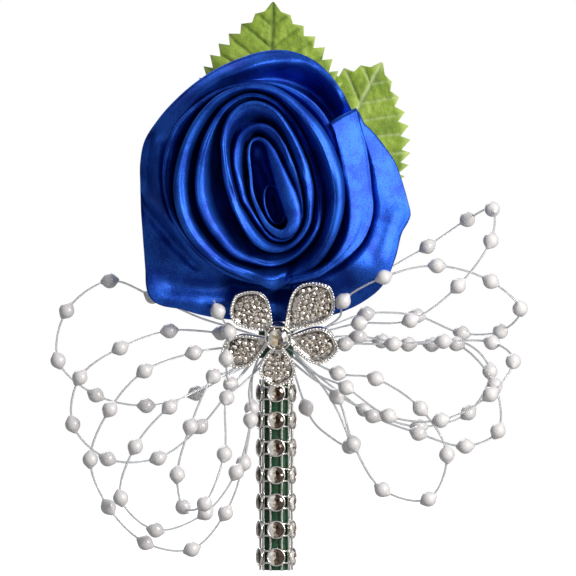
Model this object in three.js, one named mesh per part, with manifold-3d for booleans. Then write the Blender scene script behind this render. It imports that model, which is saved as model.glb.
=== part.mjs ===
// A satin rose brooch with two leaves, a rhinestone flower, a banded stem and sprays of pearls.
// Millimetres, +Z up, front towards -Y, origin in the middle of the rear face of the pin's bar.
import * as THREE from "three";
import { mergeVertices } from "three/addons/utils/BufferGeometryUtils.js";
import Module from "manifold-3d";

const wasm = await Module();
wasm.setup();

// Clearances
const seat_gap = 0.3; // between pieces that rest on each other
const fold_gap = 0.4; // between neighbouring satin folds
const overrun = 0.6; // how far a cutter passes its work

// Bar pin
const bar_length = 27;
const bar_width = 5;
const bar_thickness = 0.8;
const needle_height = 3.5; // needle axis behind the bar's rear face
const needle_radius = 0.4;
const needle_point_length = 3;
const needle_point_radius = 0.08;
const needle_overhang = 1; // how far the point passes the catch
const knuckle_radius = 1.1;
const knuckle_width = 1.8;
const knuckle_play = 0.1; // between the knuckle and an ear
const ear_thickness = 0.7;
const ear_inset = 2.2; // hinge axis to the end of the bar
const rivet_radius = 0.5;
const rivet_clearance = 0.06;
const rivet_head_radius = 0.85;
const rivet_head_height = 0.35;
const catch_inset = 3.2; // middle of the catch to the end of the bar
const catch_width = 2.6;
const catch_wall = 0.6;
const catch_foot_width = 2.8;
const rotor_inner_radius = 0.8;
const rotor_outer_radius = 1.3;
const rotor_clearance = 0.1;
const rotor_tab_reach = 1.5; // tab beyond the rotor's ring
const catch_mouth_half_angle = 66;
const rotor_mouth_half_angle = 40;
const rotor_tab_angle = 14; // width of the tab, next to the rotor's mouth

// Backing
const felt_radius = 14.5;
const felt_thickness = 1;
const pad_radius = 11;

// Leaves
const leaf_length = 38;
const leaf_width = 27;
const leaf_thickness = 0.5;
const leaf_tooth_depth = 1.3;
const leaf_teeth = 15; // on each side
const leaf_top_tip_x = -0.6;
const leaf_top_tip_z = 36.3;
const leaf_top_lean = 2; // degrees clockwise from upright
const leaf_right_tip_x = 20.4;
const leaf_right_tip_z = 24.6;
const leaf_right_lean = 28;

// Rose
const rose_radius = 26.5; // the radius that the fold shares multiply
const rose_centre_x = -0.8;
const rose_centre_z = 0.6;
const rose_base_depth = 10.4; // base of the rose in front of the bar's rear face
const rose_height = 19.5; // base to the highest fold
const rose_back_rise = 3; // how far the back has come forward at rose_radius

// Stem
const stem_radius = 3.75; // over the stones
const stem_axis_depth = 7.2; // in front of the bar's rear face
const stem_below_binding = 41.2; // from the binding's lower end to the stem's end
const stem_core_radius = 1.3;
const stem_core_top_z = -3;
const tape_radius = 2.6;
const binding_radius = 3.5;
const binding_length = 5.3;
const binding_drop = 1.3; // from the foot of rose_radius to the binding's top

// Rhinestone banding
const stone_columns = 5;
const stone_rows = 7;
const stone_sides = 8;
const stone_pitch = 5.3;
const stone_radius = 1.8;
const stone_table_share = 0.5; // flat top of a stone against its radius
const stone_rise = 0.55; // girdle to flat top
const wire_size = 0.42;
const wire_offset = 1.15; // from a stone's centre to the wires on either side of it
const last_stone_rise = 2.6; // from the stem's end to the middle of the last stones

// Rhinestone flower
const flower_x = 0.4;
const flower_drop = 2.7; // from the foot of rose_radius to the flower's middle
const flower_seat_share = 0.315; // height of the flower's back over the rose's base, of rose_height
const flower_reach = 14.3; // middle to the tip of the longest petal
const flower_tilt = 20; // degrees, top forward
const flower_plate = 0.8;
const flower_rim_width = 0.7;
const flower_rim_height = 0.7; // above the plate
const flower_hub_radius = 2.5;
const flower_post_radius = 1.4;
const pave_rise = 0.35; // crown of a bed above the rim
const centre_stone_radius = 2;
const centre_stone_rise = 0.9;
const collet_height = 1.1;
const collet_wall = 0.35;

// Pearl sprays
const line_diameter = 0.4;
const pearl_radius = 1.5;

// Places that follow from the rose
const rose_foot_z = rose_centre_z - rose_radius;
const binding_top_z = rose_foot_z - binding_drop;
const binding_bottom_z = binding_top_z - binding_length;
const stem_bottom_z = binding_bottom_z - stem_below_binding;
const last_stone_z = stem_bottom_z + last_stone_rise;
const flower_z = rose_foot_z - flower_drop;
const flower_back_depth = rose_base_depth + rose_height * flower_seat_share;

// Finishes
function finish(color, roughness, metalness) {
  return new THREE.MeshStandardMaterial({ color, roughness, metalness });
}
const satin = () => finish(0x1440b4, 0.42, 0);
const leaf_cloth = () => finish(0x86ad38, 0.75, 0);
const felt_cloth = () => finish(0x16305c, 0.95, 0);
const glue_foam = () => finish(0xd9d6cc, 0.7, 0);
const floral_tape = () => finish(0x1f4a2c, 0.8, 0);
const wire_steel = () => finish(0x9aa0a4, 0.4, 1);
const silver_plate = () => finish(0xc9c8c6, 0.22, 1);
const crystal = () => finish(0xb9ab9a, 0.1, 0.6);
const pearl = () => finish(0xe9e6e2, 0.28, 0);

const group = new THREE.Group();

// Adds a named mesh to the model.
function add(name, geometry, material) {
  const mesh = new THREE.Mesh(geometry, material);
  mesh.name = name;
  group.add(mesh);
  return mesh;
}

// A closed geometry as a solid that can be joined or cut.
function solid(geometry) {
  const bare = geometry.clone();
  bare.deleteAttribute("normal");
  bare.deleteAttribute("uv");
  const merged = mergeVertices(bare);
  const vertProperties = new Float32Array(merged.attributes.position.array);
  const triVerts = new Uint32Array(merged.index.array);
  return new wasm.Manifold(new wasm.Mesh({ numProp: 3, vertProperties, triVerts }));
}

// A solid back as a geometry.
function geometryOf(made) {
  const mesh = made.getMesh();
  const geometry = new THREE.BufferGeometry();
  geometry.setAttribute("position", new THREE.BufferAttribute(new Float32Array(mesh.vertProperties), 3));
  geometry.setIndex(new THREE.BufferAttribute(new Uint32Array(mesh.triVerts), 1));
  geometry.computeVertexNormals();
  return geometry;
}

const join = (pieces) => pieces.reduce((all, piece) => all.add(piece));

// A box between two corners.
function block(low, high) {
  const size = high.map((value, axis) => value - low[axis]);
  const middle = high.map((value, axis) => (value + low[axis]) / 2);
  return new THREE.BoxGeometry(...size).translate(...middle);
}

// A cylinder or cone along +Y from y = from to y = to, about (x, z).
function roundY(radius_from, radius_to, from, to, x, z, sides) {
  const height = to - from;
  return new THREE.CylinderGeometry(radius_to, radius_from, height, sides).translate(x, (from + to) / 2, z);
}

// A cylinder along Z between two heights.
function roundZ(radius, low, high, x, y, sides) {
  const made = new THREE.CylinderGeometry(radius, radius, high - low, sides);
  return made.rotateX(Math.PI / 2).translate(x, y, (low + high) / 2);
}

// A shape drawn in (x, z) made solid between two depths in front of the bar's rear face.
function plate(shape, back_depth, front_depth, curve_steps) {
  const made = new THREE.ExtrudeGeometry(shape, {
    depth: front_depth - back_depth,
    bevelEnabled: false,
    curveSegments: curve_steps,
  });
  return made.rotateX(Math.PI / 2).translate(0, -back_depth, 0);
}

// A sector of a ring drawn in (y, z) about the origin and made solid along X.
function ringAlongX(inner, outer, from_angle, to_angle, low_x, high_x, steps) {
  const shape = new THREE.Shape();
  const start = THREE.MathUtils.degToRad(from_angle);
  const end = THREE.MathUtils.degToRad(to_angle);
  shape.absarc(0, 0, outer, start, end, false);
  shape.absarc(0, 0, inner, end, start, true);
  const made = new THREE.ExtrudeGeometry(shape, {
    depth: high_x - low_x,
    bevelEnabled: false,
    curveSegments: steps,
  });
  made.applyMatrix4(new THREE.Matrix4().set(0, 0, 1, low_x, 1, 0, 0, 0, 0, 1, 0, 0, 0, 0, 0, 1));
  return made;
}

// Bar pin: a bar with two ears and a catch, a rivet, a needle and a safety rotor.
const hinge_x = -bar_length / 2 + ear_inset;
const catch_x = bar_length / 2 - catch_inset;
const catch_inner_radius = rotor_outer_radius + rotor_clearance;
const catch_outer_radius = catch_inner_radius + catch_wall;
const ear_inner_z = knuckle_width / 2 + knuckle_play;
const ear_outer_z = ear_inner_z + ear_thickness;
const round_sides = 14;
const small_sides = 12;

function barWithEarsAndCatch() {
  const bar_end = bar_length / 2;
  const half_width = bar_width / 2;
  const bar = new THREE.Shape();
  bar.moveTo(-bar_end + half_width, -half_width);
  bar.lineTo(bar_end - half_width, -half_width);
  bar.absarc(bar_end - half_width, 0, half_width, -Math.PI / 2, Math.PI / 2, false);
  bar.absarc(-bar_end + half_width, 0, half_width, Math.PI / 2, (3 * Math.PI) / 2, false);
  const pieces = [solid(plate(bar, 0, bar_thickness, small_sides / 2))];
  for (const side of [-1, 1]) {
    const near = side * ear_inner_z;
    const far = side * ear_outer_z;
    const low_z = Math.min(near, far);
    const high_z = Math.max(near, far);
    const low = [hinge_x - knuckle_radius, -bar_thickness / 2, low_z];
    const foot = block(low, [hinge_x + knuckle_radius, needle_height, high_z]);
    const top = roundZ(knuckle_radius, low_z, high_z, hinge_x, needle_height, small_sides);
    pieces.push(solid(foot), solid(top));
  }
  const catch_low = catch_x - catch_width / 2;
  const catch_high = catch_x + catch_width / 2;
  const hook = ringAlongX(
    catch_inner_radius,
    catch_outer_radius,
    catch_mouth_half_angle,
    360 - catch_mouth_half_angle,
    catch_low,
    catch_high,
    round_sides,
  );
  const foot_half = catch_foot_width / 2;
  const foot_top = needle_height - catch_inner_radius - catch_wall / 2;
  const foot = block([catch_low, -bar_thickness / 2, -foot_half], [catch_high, foot_top, foot_half]);
  pieces.push(solid(hook.translate(0, needle_height, 0)), solid(foot));
  const hole = rivet_radius + rivet_clearance;
  const reach = ear_outer_z + overrun;
  const bore = roundZ(hole, -reach, reach, hinge_x, needle_height, small_sides);
  return geometryOf(join(pieces).subtract(solid(bore)));
}

function rivet() {
  const reach = ear_outer_z + knuckle_play;
  const half = reach + rivet_head_height / 2;
  const shank = roundZ(rivet_radius, -half, half, hinge_x, needle_height, small_sides);
  const heads = [-half, half].map((middle) => {
    const low = middle - rivet_head_height / 2;
    const high = middle + rivet_head_height / 2;
    return solid(roundZ(rivet_head_radius, low, high, hinge_x, needle_height, small_sides));
  });
  return geometryOf(join([solid(shank), ...heads]));
}

function needle() {
  const half = knuckle_width / 2;
  const knuckle = roundZ(knuckle_radius, -half, half, hinge_x, needle_height, small_sides);
  const point_x = catch_x + catch_width / 2 + needle_overhang;
  const profile = [
    new THREE.Vector2(0, 0),
    new THREE.Vector2(needle_radius, 0),
    new THREE.Vector2(needle_radius, point_x - hinge_x - needle_point_length),
    new THREE.Vector2(needle_point_radius, point_x - hinge_x),
    new THREE.Vector2(0, point_x - hinge_x),
  ];
  const shaft = new THREE.LatheGeometry(profile, small_sides).rotateZ(-Math.PI / 2);
  const hole = rivet_radius + rivet_clearance;
  const bore = roundZ(hole, -half - overrun, half + overrun, hinge_x, needle_height, small_sides);
  shaft.translate(hinge_x, needle_height, 0);
  return geometryOf(solid(knuckle).add(solid(shaft)).subtract(solid(bore)));
}

function rotor() {
  const half = catch_width / 2;
  const low_x = catch_x - half;
  const high_x = catch_x + half;
  const mouth = rotor_mouth_half_angle;
  const inner = rotor_inner_radius;
  const ring = ringAlongX(inner, rotor_outer_radius, mouth, 360 - mouth, low_x, high_x, round_sides);
  const tab_reach = rotor_outer_radius + rotor_tab_reach;
  const tab_end = mouth + rotor_tab_angle;
  const tab = ringAlongX(inner, tab_reach, mouth, tab_end, low_x + half / 2, high_x - half / 2, 2);
  return geometryOf(solid(ring).add(solid(tab)).translate([0, needle_height, 0]));
}

add("pin_bar", barWithEarsAndCatch(), wire_steel());
add("pin_rivet", rivet(), wire_steel());
add("pin_needle", needle(), wire_steel());
add("pin_rotor", rotor(), wire_steel());

// Backing: a felt disc behind the leaves, and a pad between the leaves and the rose.
const felt_back = bar_thickness + seat_gap;
const felt_front = felt_back + felt_thickness;
const leaf_right_back = felt_front + seat_gap;
const leaf_top_back = leaf_right_back + leaf_thickness + seat_gap;
const pad_back = leaf_top_back + leaf_thickness + seat_gap;
const pad_front = rose_base_depth - seat_gap;
const disc_sides = 40;

add("felt_disc", roundY(felt_radius, felt_radius, -felt_front, -felt_back, 0, 0, disc_sides), felt_cloth());

function pad() {
  const body = solid(roundY(pad_radius, pad_radius, -pad_front, -pad_back, 0, 0, disc_sides));
  const slot_radius = stem_core_radius + seat_gap;
  const slot_top = stem_core_top_z + seat_gap;
  const slot = solid(roundZ(slot_radius, -pad_radius - overrun, slot_top, 0, -stem_axis_depth, small_sides));
  return geometryOf(body.subtract(slot));
}
add("backing_pad", pad(), glue_foam());

// Leaves: a pointed oval whose edge is cut into teeth that lean towards the tip.
const leaf_fullness_share = 0.95; // power that shapes how full the leaf is near its ends
const leaf_first_tooth_share = 0.035;
const leaf_last_tooth_share = 0.93;
const leaf_full_tooth_share = 0.2; // nearer to the tip, the teeth are smaller
const leaf_tooth_lean_share = 1.12; // how far a tooth's point stands towards the tip, of one pitch
const leaf_tooth_out_share = 0.65; // how much of a tooth stands outside the oval

function leafShape() {
  const half_at = (share) => (leaf_width / 2) * Math.sin(Math.PI * share) ** leaf_fullness_share;
  const pitch = (leaf_last_tooth_share - leaf_first_tooth_share) / leaf_teeth;
  const edge = [];
  for (let tooth = 0; tooth < leaf_teeth; tooth += 1) {
    const start = leaf_first_tooth_share + pitch * tooth;
    const root = start + pitch;
    const depth = leaf_tooth_depth * Math.min(1, root / leaf_full_tooth_share);
    const point = (root - pitch * leaf_tooth_lean_share) * leaf_length;
    edge.push([half_at(start + pitch / 2) + depth * leaf_tooth_out_share, point]);
    edge.push([half_at(root) - depth * (1 - leaf_tooth_out_share), root * leaf_length]);
  }
  const right = edge.map(([half, along]) => new THREE.Vector2(half, -along));
  const left = edge.map(([half, along]) => new THREE.Vector2(-half, -along)).reverse();
  return new THREE.Shape([new THREE.Vector2(0, 0), ...right, new THREE.Vector2(0, -leaf_length), ...left]);
}

function leaf(tip_x, tip_z, lean, back_depth) {
  const made = plate(leafShape(), 0, leaf_thickness, 1);
  made.rotateY(THREE.MathUtils.degToRad(lean));
  return made.translate(tip_x, -back_depth, tip_z);
}
add("leaf_right", leaf(leaf_right_tip_x, leaf_right_tip_z, leaf_right_lean, leaf_right_back), leaf_cloth());
add("leaf_top", leaf(leaf_top_tip_x, leaf_top_tip_z, leaf_top_lean, leaf_top_back), leaf_cloth());

// Rose: the folds are closed lines round the middle, each given at even steps of angle from the
// right, turning up and to the left, as shares of rose_radius. Heights are shares of rose_height.
const bud_fold_shares = [
  0.127, 0.113, 0.138, 0.277, 0.313, 0.189,
  0.16, 0.168, 0.211, 0.32, 0.335, 0.208,
];
const inner_fold_shares = [
  0.233, 0.226, 0.269, 0.408, 0.43, 0.284,
  0.233, 0.219, 0.255, 0.397, 0.408, 0.288,
];
const second_fold_shares = [
  0.3, 0.3, 0.36, 0.57, 0.583, 0.382,
  0.305, 0.3, 0.345, 0.465, 0.475, 0.36,
];
const third_fold_shares = [
  0.4, 0.41, 0.49, 0.645, 0.65, 0.539,
  0.506, 0.517, 0.53, 0.554, 0.54, 0.44,
];
const fourth_fold_shares = [
  0.484, 0.503, 0.561, 0.705, 0.736, 0.675,
  0.655, 0.62, 0.6, 0.62, 0.612, 0.546,
];
const turns_edge_shares = [
  0.545, 0.597, 0.641, 0.76, 0.79, 0.736,
  0.714, 0.677, 0.645, 0.66, 0.666, 0.597,
];
const top_petal_edge_shares = [
  0.71, 0.761, 0.932, 0.998, 0.94, 0.86,
  0.72, 0.69, 0.66, 0.7, 0.743, 0.772,
];
const left_fold_shares = [
  0.7, 0.7, 0.7, 0.8, 0.85, 0.85,
  0.779, 0.73, 0.71, 0.73, 0.74, 0.74,
];
const outline_shares = [
  0.921, 0.874, 0.841, 0.838, 0.932, 0.987, 0.998, 0.954, 0.94, 0.947, 0.954, 0.983,
  0.976, 0.987, 1.092, 1.209, 1.071, 1.042, 1.02, 1.034, 1.092, 1.083, 1.034, 1.012,
];
const bud_height_shares = [0.46, 0.48, 0.7, 0.88, 0.93, 0.9, 0.8];
const bud_radius_shares = [0.5, 0.78, 0.9]; // wall, lip and rim inside the fold's crest
const fold_face_share = 0.45; // where a fold's inner face bends, of its width
const fold_face_rise_share = 0.72; // and how far it has risen there
const fold_back_share = 0.55;
const fold_back_fall_share = 0.3;
const third_fold_height_shares = [
  0.62, 0.62, 0.68, 0.78, 0.88, 0.95,
  0.95, 0.95, 0.93, 0.88, 0.86, 0.78,
];
const pinch_angle = 272; // where the folds are drawn together under the rose
const pinch_spread = 34;
const pinch_drop_share = 0.3; // how much lower the outer folds are there
const back_flat_share = 0.35; // the flat middle of the back

// A table of shares read at an angle in degrees, on a smooth curve through its values.
function shareAt(shares, angle) {
  const place = ((((angle % 360) + 360) % 360) / 360) * shares.length;
  const index = Math.floor(place);
  const t = place - index;
  const [a, b, c, d] = [-1, 0, 1, 2].map((step) => shares[(index + step + shares.length) % shares.length]);
  return b + (t * (c - a + t * (2 * a - 5 * b + 4 * c - d + t * (3 * (b - c) + d - a)))) / 2;
}

function pinchAt(angle) {
  const away = ((angle - pinch_angle + 540) % 360) - 180;
  return 1 - pinch_drop_share * Math.exp(-((away / pinch_spread) ** 2));
}

function rosePoint(angle, radius, height) {
  const turn = THREE.MathUtils.degToRad(angle);
  const x = rose_centre_x + radius * Math.cos(turn);
  const z = rose_centre_z + radius * Math.sin(turn);
  return new THREE.Vector3(x, -rose_base_depth - height, z);
}

const backHeight = (radius) => {
  const past = Math.max(0, radius / rose_radius - back_flat_share) / (1 - back_flat_share);
  return rose_back_rise * past ** 2;
};

// A closed solid lofted through sections round the middle. sectionAt gives [radius, height] pairs
// of the front, from the middle outwards; the back closes each section.
function petal(sectionAt, from, to, steps) {
  const whole = to - from === 360;
  const columns = whole ? steps : steps + 1;
  const sections = [];
  for (let step = 0; step < columns; step += 1) {
    const angle = from + ((to - from) * step) / steps;
    const front = sectionAt(angle);
    const inner = front[0][0];
    const outer = front[front.length - 1][0];
    const back = [[outer, backHeight(outer)], [inner, backHeight(inner)]];
    sections.push([...front, ...back].map(([radius, height]) => rosePoint(angle, radius, height)));
  }
  const count = sections[0].length;
  const triangles = [];
  const face = (a, b, c) => {
    if (a.distanceTo(b) && b.distanceTo(c) && c.distanceTo(a)) triangles.push(a, b, c);
  };
  for (let step = 0; step < (whole ? columns : columns - 1); step += 1) {
    const here = sections[step];
    const next = sections[(step + 1) % columns];
    for (let index = 0; index < count; index += 1) {
      const after = (index + 1) % count;
      face(here[index], next[index], next[after]);
      face(here[index], next[after], here[after]);
    }
  }
  if (!whole) {
    for (const [section, turned] of [[sections[0], false], [sections[columns - 1], true]]) {
      const centre = section[0];
      const across = section.map((point) => {
        const along = Math.hypot(point.x - centre.x, point.z - centre.z);
        const outward_x = (point.x - centre.x) * (centre.x - rose_centre_x);
        const outward_z = (point.z - centre.z) * (centre.z - rose_centre_z);
        return new THREE.Vector2(along * (Math.sign(outward_x + outward_z) || 1), -point.y);
      });
      const winding = Math.sign(THREE.ShapeUtils.area(across));
      for (const [a, b, c] of THREE.ShapeUtils.triangulateShape(across, [])) {
        const same = Math.sign(THREE.ShapeUtils.area([across[a], across[b], across[c]])) === winding;
        if (turned === same) face(section[a], section[c], section[b]);
        else face(section[a], section[b], section[c]);
      }
    }
  }
  const geometry = new THREE.BufferGeometry().setFromPoints(triangles);
  const made = solid(geometry);
  if (made.volume() > 0) return geometryOf(made);
  const turned = [];
  for (let index = 0; index < triangles.length; index += 3) {
    turned.push(triangles[index], triangles[index + 2], triangles[index + 1]);
  }
  return geometryOf(solid(new THREE.BufferGeometry().setFromPoints(turned)));
}

const blend = (a, b, share) => a + (b - a) * share;
const half_gap = fold_gap / 2;
const lineAt = (shares) => (angle) => rose_radius * shareAt(shares, angle);
const budFold = lineAt(bud_fold_shares);
const innerFold = lineAt(inner_fold_shares);
const secondFold = lineAt(second_fold_shares);
const thirdFold = lineAt(third_fold_shares);
const fourthFold = lineAt(fourth_fold_shares);
const turnsEdge = lineAt(turns_edge_shares);
const topPetalEdge = lineAt(top_petal_edge_shares);
const leftFold = lineAt(left_fold_shares);
const outline = lineAt(outline_shares);
const middle_share = 0.5;
const budEdge = (angle) => blend(budFold(angle), innerFold(angle), middle_share);
const innerEdge = (angle) => blend(secondFold(angle), thirdFold(angle), middle_share);

function budSection(angle) {
  const fold = budFold(angle);
  const edge = budEdge(angle) - half_gap;
  const [floor, wall, lip, rim, top, slope, side] = bud_height_shares.map((share) => share * rose_height);
  const [wall_radius, lip_radius, rim_radius] = bud_radius_shares.map((share) => share * fold);
  return [
    [0, floor],
    [wall_radius, wall],
    [lip_radius, lip],
    [rim_radius, rim],
    [fold, top],
    [blend(fold, edge, middle_share), slope],
    [edge, side],
  ];
}

// One rounded fold between two valleys, as points from the inner valley to its crest and down.
function fold(inner, crest, outer, inner_height, crest_height, outer_height) {
  return [
    [blend(inner, crest, fold_face_share), blend(inner_height, crest_height, fold_face_rise_share)],
    [crest, crest_height],
    [blend(crest, outer, fold_back_share), blend(crest_height, outer_height, fold_back_fall_share)],
    [outer, outer_height],
  ];
}

const bud_valley_share = 0.78;
const first_valley_share = 0.82;
const wide_valley_share = 0.55;
const second_valley_share = 0.66;
const turns_foot_share = 0.5;
const inner_crest_share = 0.95;
const second_crest_share = 1;
const fourth_crest_share = 0.95;

function innerSection(angle) {
  const start = budEdge(angle) + half_gap;
  const valley = blend(innerFold(angle), secondFold(angle), middle_share);
  const end = innerEdge(angle) - half_gap;
  const low = bud_valley_share * rose_height;
  const middle = first_valley_share * rose_height;
  const high = inner_crest_share * rose_height;
  const crest = second_crest_share * rose_height;
  const foot = wide_valley_share * rose_height;
  return [
    [start, low],
    ...fold(start, innerFold(angle), valley, low, high, middle),
    ...fold(valley, secondFold(angle), end, middle, crest, foot),
  ];
}

function turnsSection(angle) {
  const start = innerEdge(angle) + half_gap;
  const valley = blend(thirdFold(angle), fourthFold(angle), middle_share);
  const end = turnsEdge(angle) - half_gap;
  const drawn = pinchAt(angle);
  const low = wide_valley_share * rose_height;
  const third = shareAt(third_fold_height_shares, angle) * rose_height * drawn;
  const middle = Math.min(second_valley_share * rose_height * drawn, third);
  const fourth = fourth_crest_share * rose_height * drawn;
  const foot = turns_foot_share * rose_height * drawn;
  return [
    [start, low],
    ...fold(start, thirdFold(angle), valley, low, third, middle),
    ...fold(valley, fourthFold(angle), end, middle, fourth, foot),
  ];
}

// The outer petals lie round the turns like crescents, each coming out from under the last.
const top_petal_from = -74;
const top_petal_to = 166;
const left_petal_from = 146;
const left_petal_to = 281;
const right_petal_from = -74;
const right_petal_to = 36;
const top_petal_height_shares = [0.42, 0.4, 0.62, 0.72, 0.66];
const top_petal_place_shares = [0, 0.3, 0.65, 0.88, 1]; // from its inner edge to its outer
const left_petal_height_shares = [0.4, 0.62, 0.74, 0.52, 0.4, 0.3];
const left_petal_slope_shares = [0.35, 0.75, 1]; // from its crest to its outer edge
const left_crest_limit_shares = [0.15, 0.6]; // where its crest may lie, of its width
const right_petal_height_shares = [0.42, 0.46, 0.42, 0.32];
const right_petal_place_shares = [0, 0.3, 0.7, 1];
const petal_clear_angle = 8; // how far past the top petal's end the left petal stays outside it
const hollow_angle = 70; // middle of the dark hollow behind the top petal's rim
const hollow_spread = 55;
const hollow_fill_share = 0.28; // how much higher the petal's floor is away from the hollow

function topPetalSection(angle) {
  const start = turnsEdge(angle) + half_gap;
  const end = Math.max(topPetalEdge(angle), start + fold_gap * 2);
  const drawn = pinchAt(angle);
  const fill = hollow_fill_share * (1 - Math.exp(-(((angle - hollow_angle) / hollow_spread) ** 2)));
  const lifts = [fill, fill, fill / 2, 0, 0];
  return top_petal_height_shares.map((share, index) => [
    blend(start, end, top_petal_place_shares[index]),
    (share + lifts[index]) * rose_height * drawn,
  ]);
}

function leftPetalSection(angle) {
  const inside = angle < top_petal_to + petal_clear_angle ? topPetalEdge(angle) : 0;
  const start = Math.max(turnsEdge(angle), inside) + fold_gap;
  const end = Math.max(outline(angle), start + fold_gap * 2);
  const [nearest, farthest] = left_crest_limit_shares.map((share) => blend(start, end, share));
  const crest = Math.min(Math.max(leftFold(angle), nearest), farthest);
  const places = [start, blend(start, crest, middle_share), crest];
  for (const share of left_petal_slope_shares) places.push(blend(crest, end, share));
  const drawn = pinchAt(angle);
  return left_petal_height_shares.map((share, index) => [places[index], share * rose_height * drawn]);
}

function rightPetalSection(angle) {
  const start = topPetalEdge(angle) + fold_gap;
  const end = Math.max(outline(angle), start + fold_gap * 2);
  const drawn = pinchAt(angle);
  return right_petal_height_shares.map((share, index) => [
    blend(start, end, right_petal_place_shares[index]),
    share * rose_height * drawn,
  ]);
}

const rose_columns = 40;
const bud_columns = 30;
const top_petal_steps = 34;
const left_petal_steps = 24;
const right_petal_steps = 20;
add("rose_bud", petal(budSection, 0, 360, bud_columns), satin());
add("rose_inner_turns", petal(innerSection, 0, 360, rose_columns), satin());
add("rose_outer_turns", petal(turnsSection, 0, 360, rose_columns), satin());
add("rose_petal_top", petal(topPetalSection, top_petal_from, top_petal_to, top_petal_steps), satin());
const left_petal = petal(leftPetalSection, left_petal_from, left_petal_to, left_petal_steps);
const right_petal = petal(rightPetalSection, right_petal_from, right_petal_to, right_petal_steps);
add("rose_petal_left", left_petal, satin());
add("rose_petal_right", right_petal, satin());

// Stem: a wire core in a tape sleeve, with the strand ends bound to it under the rose.
const band_top_z = binding_bottom_z - seat_gap;
const stem_y = -stem_axis_depth;

function sleeve(outer, inner, low, high, sides) {
  const tube = solid(roundZ(outer, low, high, 0, stem_y, sides));
  return geometryOf(tube.subtract(solid(roundZ(inner, low - overrun, high + overrun, 0, stem_y, sides))));
}
const core_clearance = stem_core_radius + seat_gap;
const core_bottom_z = stem_bottom_z + seat_gap;
const core = roundZ(stem_core_radius, core_bottom_z, stem_core_top_z, 0, stem_y, small_sides);
const tape = sleeve(tape_radius, core_clearance, stem_bottom_z, band_top_z, small_sides);
const binding = sleeve(binding_radius, core_clearance, binding_bottom_z, binding_top_z, round_sides);
add("stem_core", core, wire_steel());
add("stem_tape", tape, floral_tape());
add("stem_binding", binding, floral_tape());

// Rhinestone banding: a net of five columns of stones in round cups, wrapped round the stem with
// its seam at the back. Two wires run down each column, and short wires join neighbouring columns.
const wire_middle = tape_radius + seat_gap + wire_size / 2; // from the stem's axis
const girdle = stem_radius - stone_rise;
const column_angle = (2 * Math.PI) / stone_columns;
const wire_angle = Math.asin(wire_offset / wire_middle);
const first_stone_z = last_stone_z + (stone_rows - 1) * stone_pitch;
const net_low = last_stone_z - stone_pitch / 2;
const net_high = first_stone_z + stone_pitch / 2;

function stoneInCup(z) {
  const profile = [
    new THREE.Vector2(0, wire_middle),
    new THREE.Vector2(stone_radius, wire_middle),
    new THREE.Vector2(stone_radius, girdle),
    new THREE.Vector2(stone_radius * stone_table_share, stem_radius),
    new THREE.Vector2(0, stem_radius),
  ];
  return new THREE.LatheGeometry(profile, stone_sides).rotateX(Math.PI).translate(0, 0, z);
}

// The wires between two columns: a flat ladder whose rails are the near wires of both.
function ladder() {
  const half_angle = column_angle / 2 - wire_angle;
  const rail_x = Math.sin(half_angle) * wire_middle;
  const depth = Math.cos(half_angle) * wire_middle;
  const half = wire_size / 2;
  const wire = (low_x, high_x, low_z, high_z) => (
    solid(block([low_x, -depth - half, low_z], [high_x, -depth + half, high_z]))
  );
  const pieces = [-rail_x, rail_x].map((x) => wire(x - half, x + half, net_low, net_high));
  for (let row = 0; row < stone_rows; row += 1) {
    for (const side of [-1, 1]) {
      const z = last_stone_z + row * stone_pitch + side * wire_offset;
      pieces.push(wire(-rail_x, rail_x, z - half, z + half));
    }
  }
  return geometryOf(join(pieces));
}

function banding() {
  const pieces = [];
  const middle_column = (stone_columns - 1) / 2;
  for (let column = 0; column < stone_columns; column += 1) {
    const turn = (column - middle_column) * column_angle;
    for (let row = 0; row < stone_rows; row += 1) {
      pieces.push(solid(stoneInCup(last_stone_z + row * stone_pitch).rotateZ(turn)));
    }
    if (column + 1 < stone_columns) pieces.push(solid(ladder().rotateZ(turn + column_angle / 2)));
  }
  const half = wire_size / 2;
  for (const side of [-1, 1]) {
    const wire = block([-half, -wire_middle - half, net_low], [half, -wire_middle + half, net_high]);
    pieces.push(solid(wire.rotateZ(side * (middle_column * column_angle + wire_angle))));
  }
  return geometryOf(join(pieces)).translate(0, stem_y, 0);
}
add("rhinestone_banding", banding(), silver_plate());

// Rhinestone flower: a cast setting with five trays, a bed of small stones in each tray, and a
// round stone in a collet. Drawn face on in (x, z) and tilted, with its post back to the binding.
const petal_angles = { upper_left: 134, upper_right: 46, right: -14, lower: -91, left: 203 };
const petal_length_shares = { upper_left: 0.825, upper_right: 1, right: 0.832, lower: 0.727, left: 0.839 };
const petal_width_shares = { upper_left: 0.566, upper_right: 0.622, right: 0.517, lower: 0.49, left: 0.476 };
const flower_petals = Object.keys(petal_angles).map((name) => ({
  name,
  angle: petal_angles[name],
  length: petal_length_shares[name] * flower_reach,
  width: petal_width_shares[name] * flower_reach,
}));
const petal_root_share = 0.1; // where a tray's outline starts, from the flower's middle
const petal_power_share = 1.55; // how far the widest place lies towards the tip
const petal_round_share = 0.7; // how round the tip is
const petal_middle_share = 0.62; // the point that the inner outlines shrink to
const petal_steps = 7; // on each side

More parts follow.
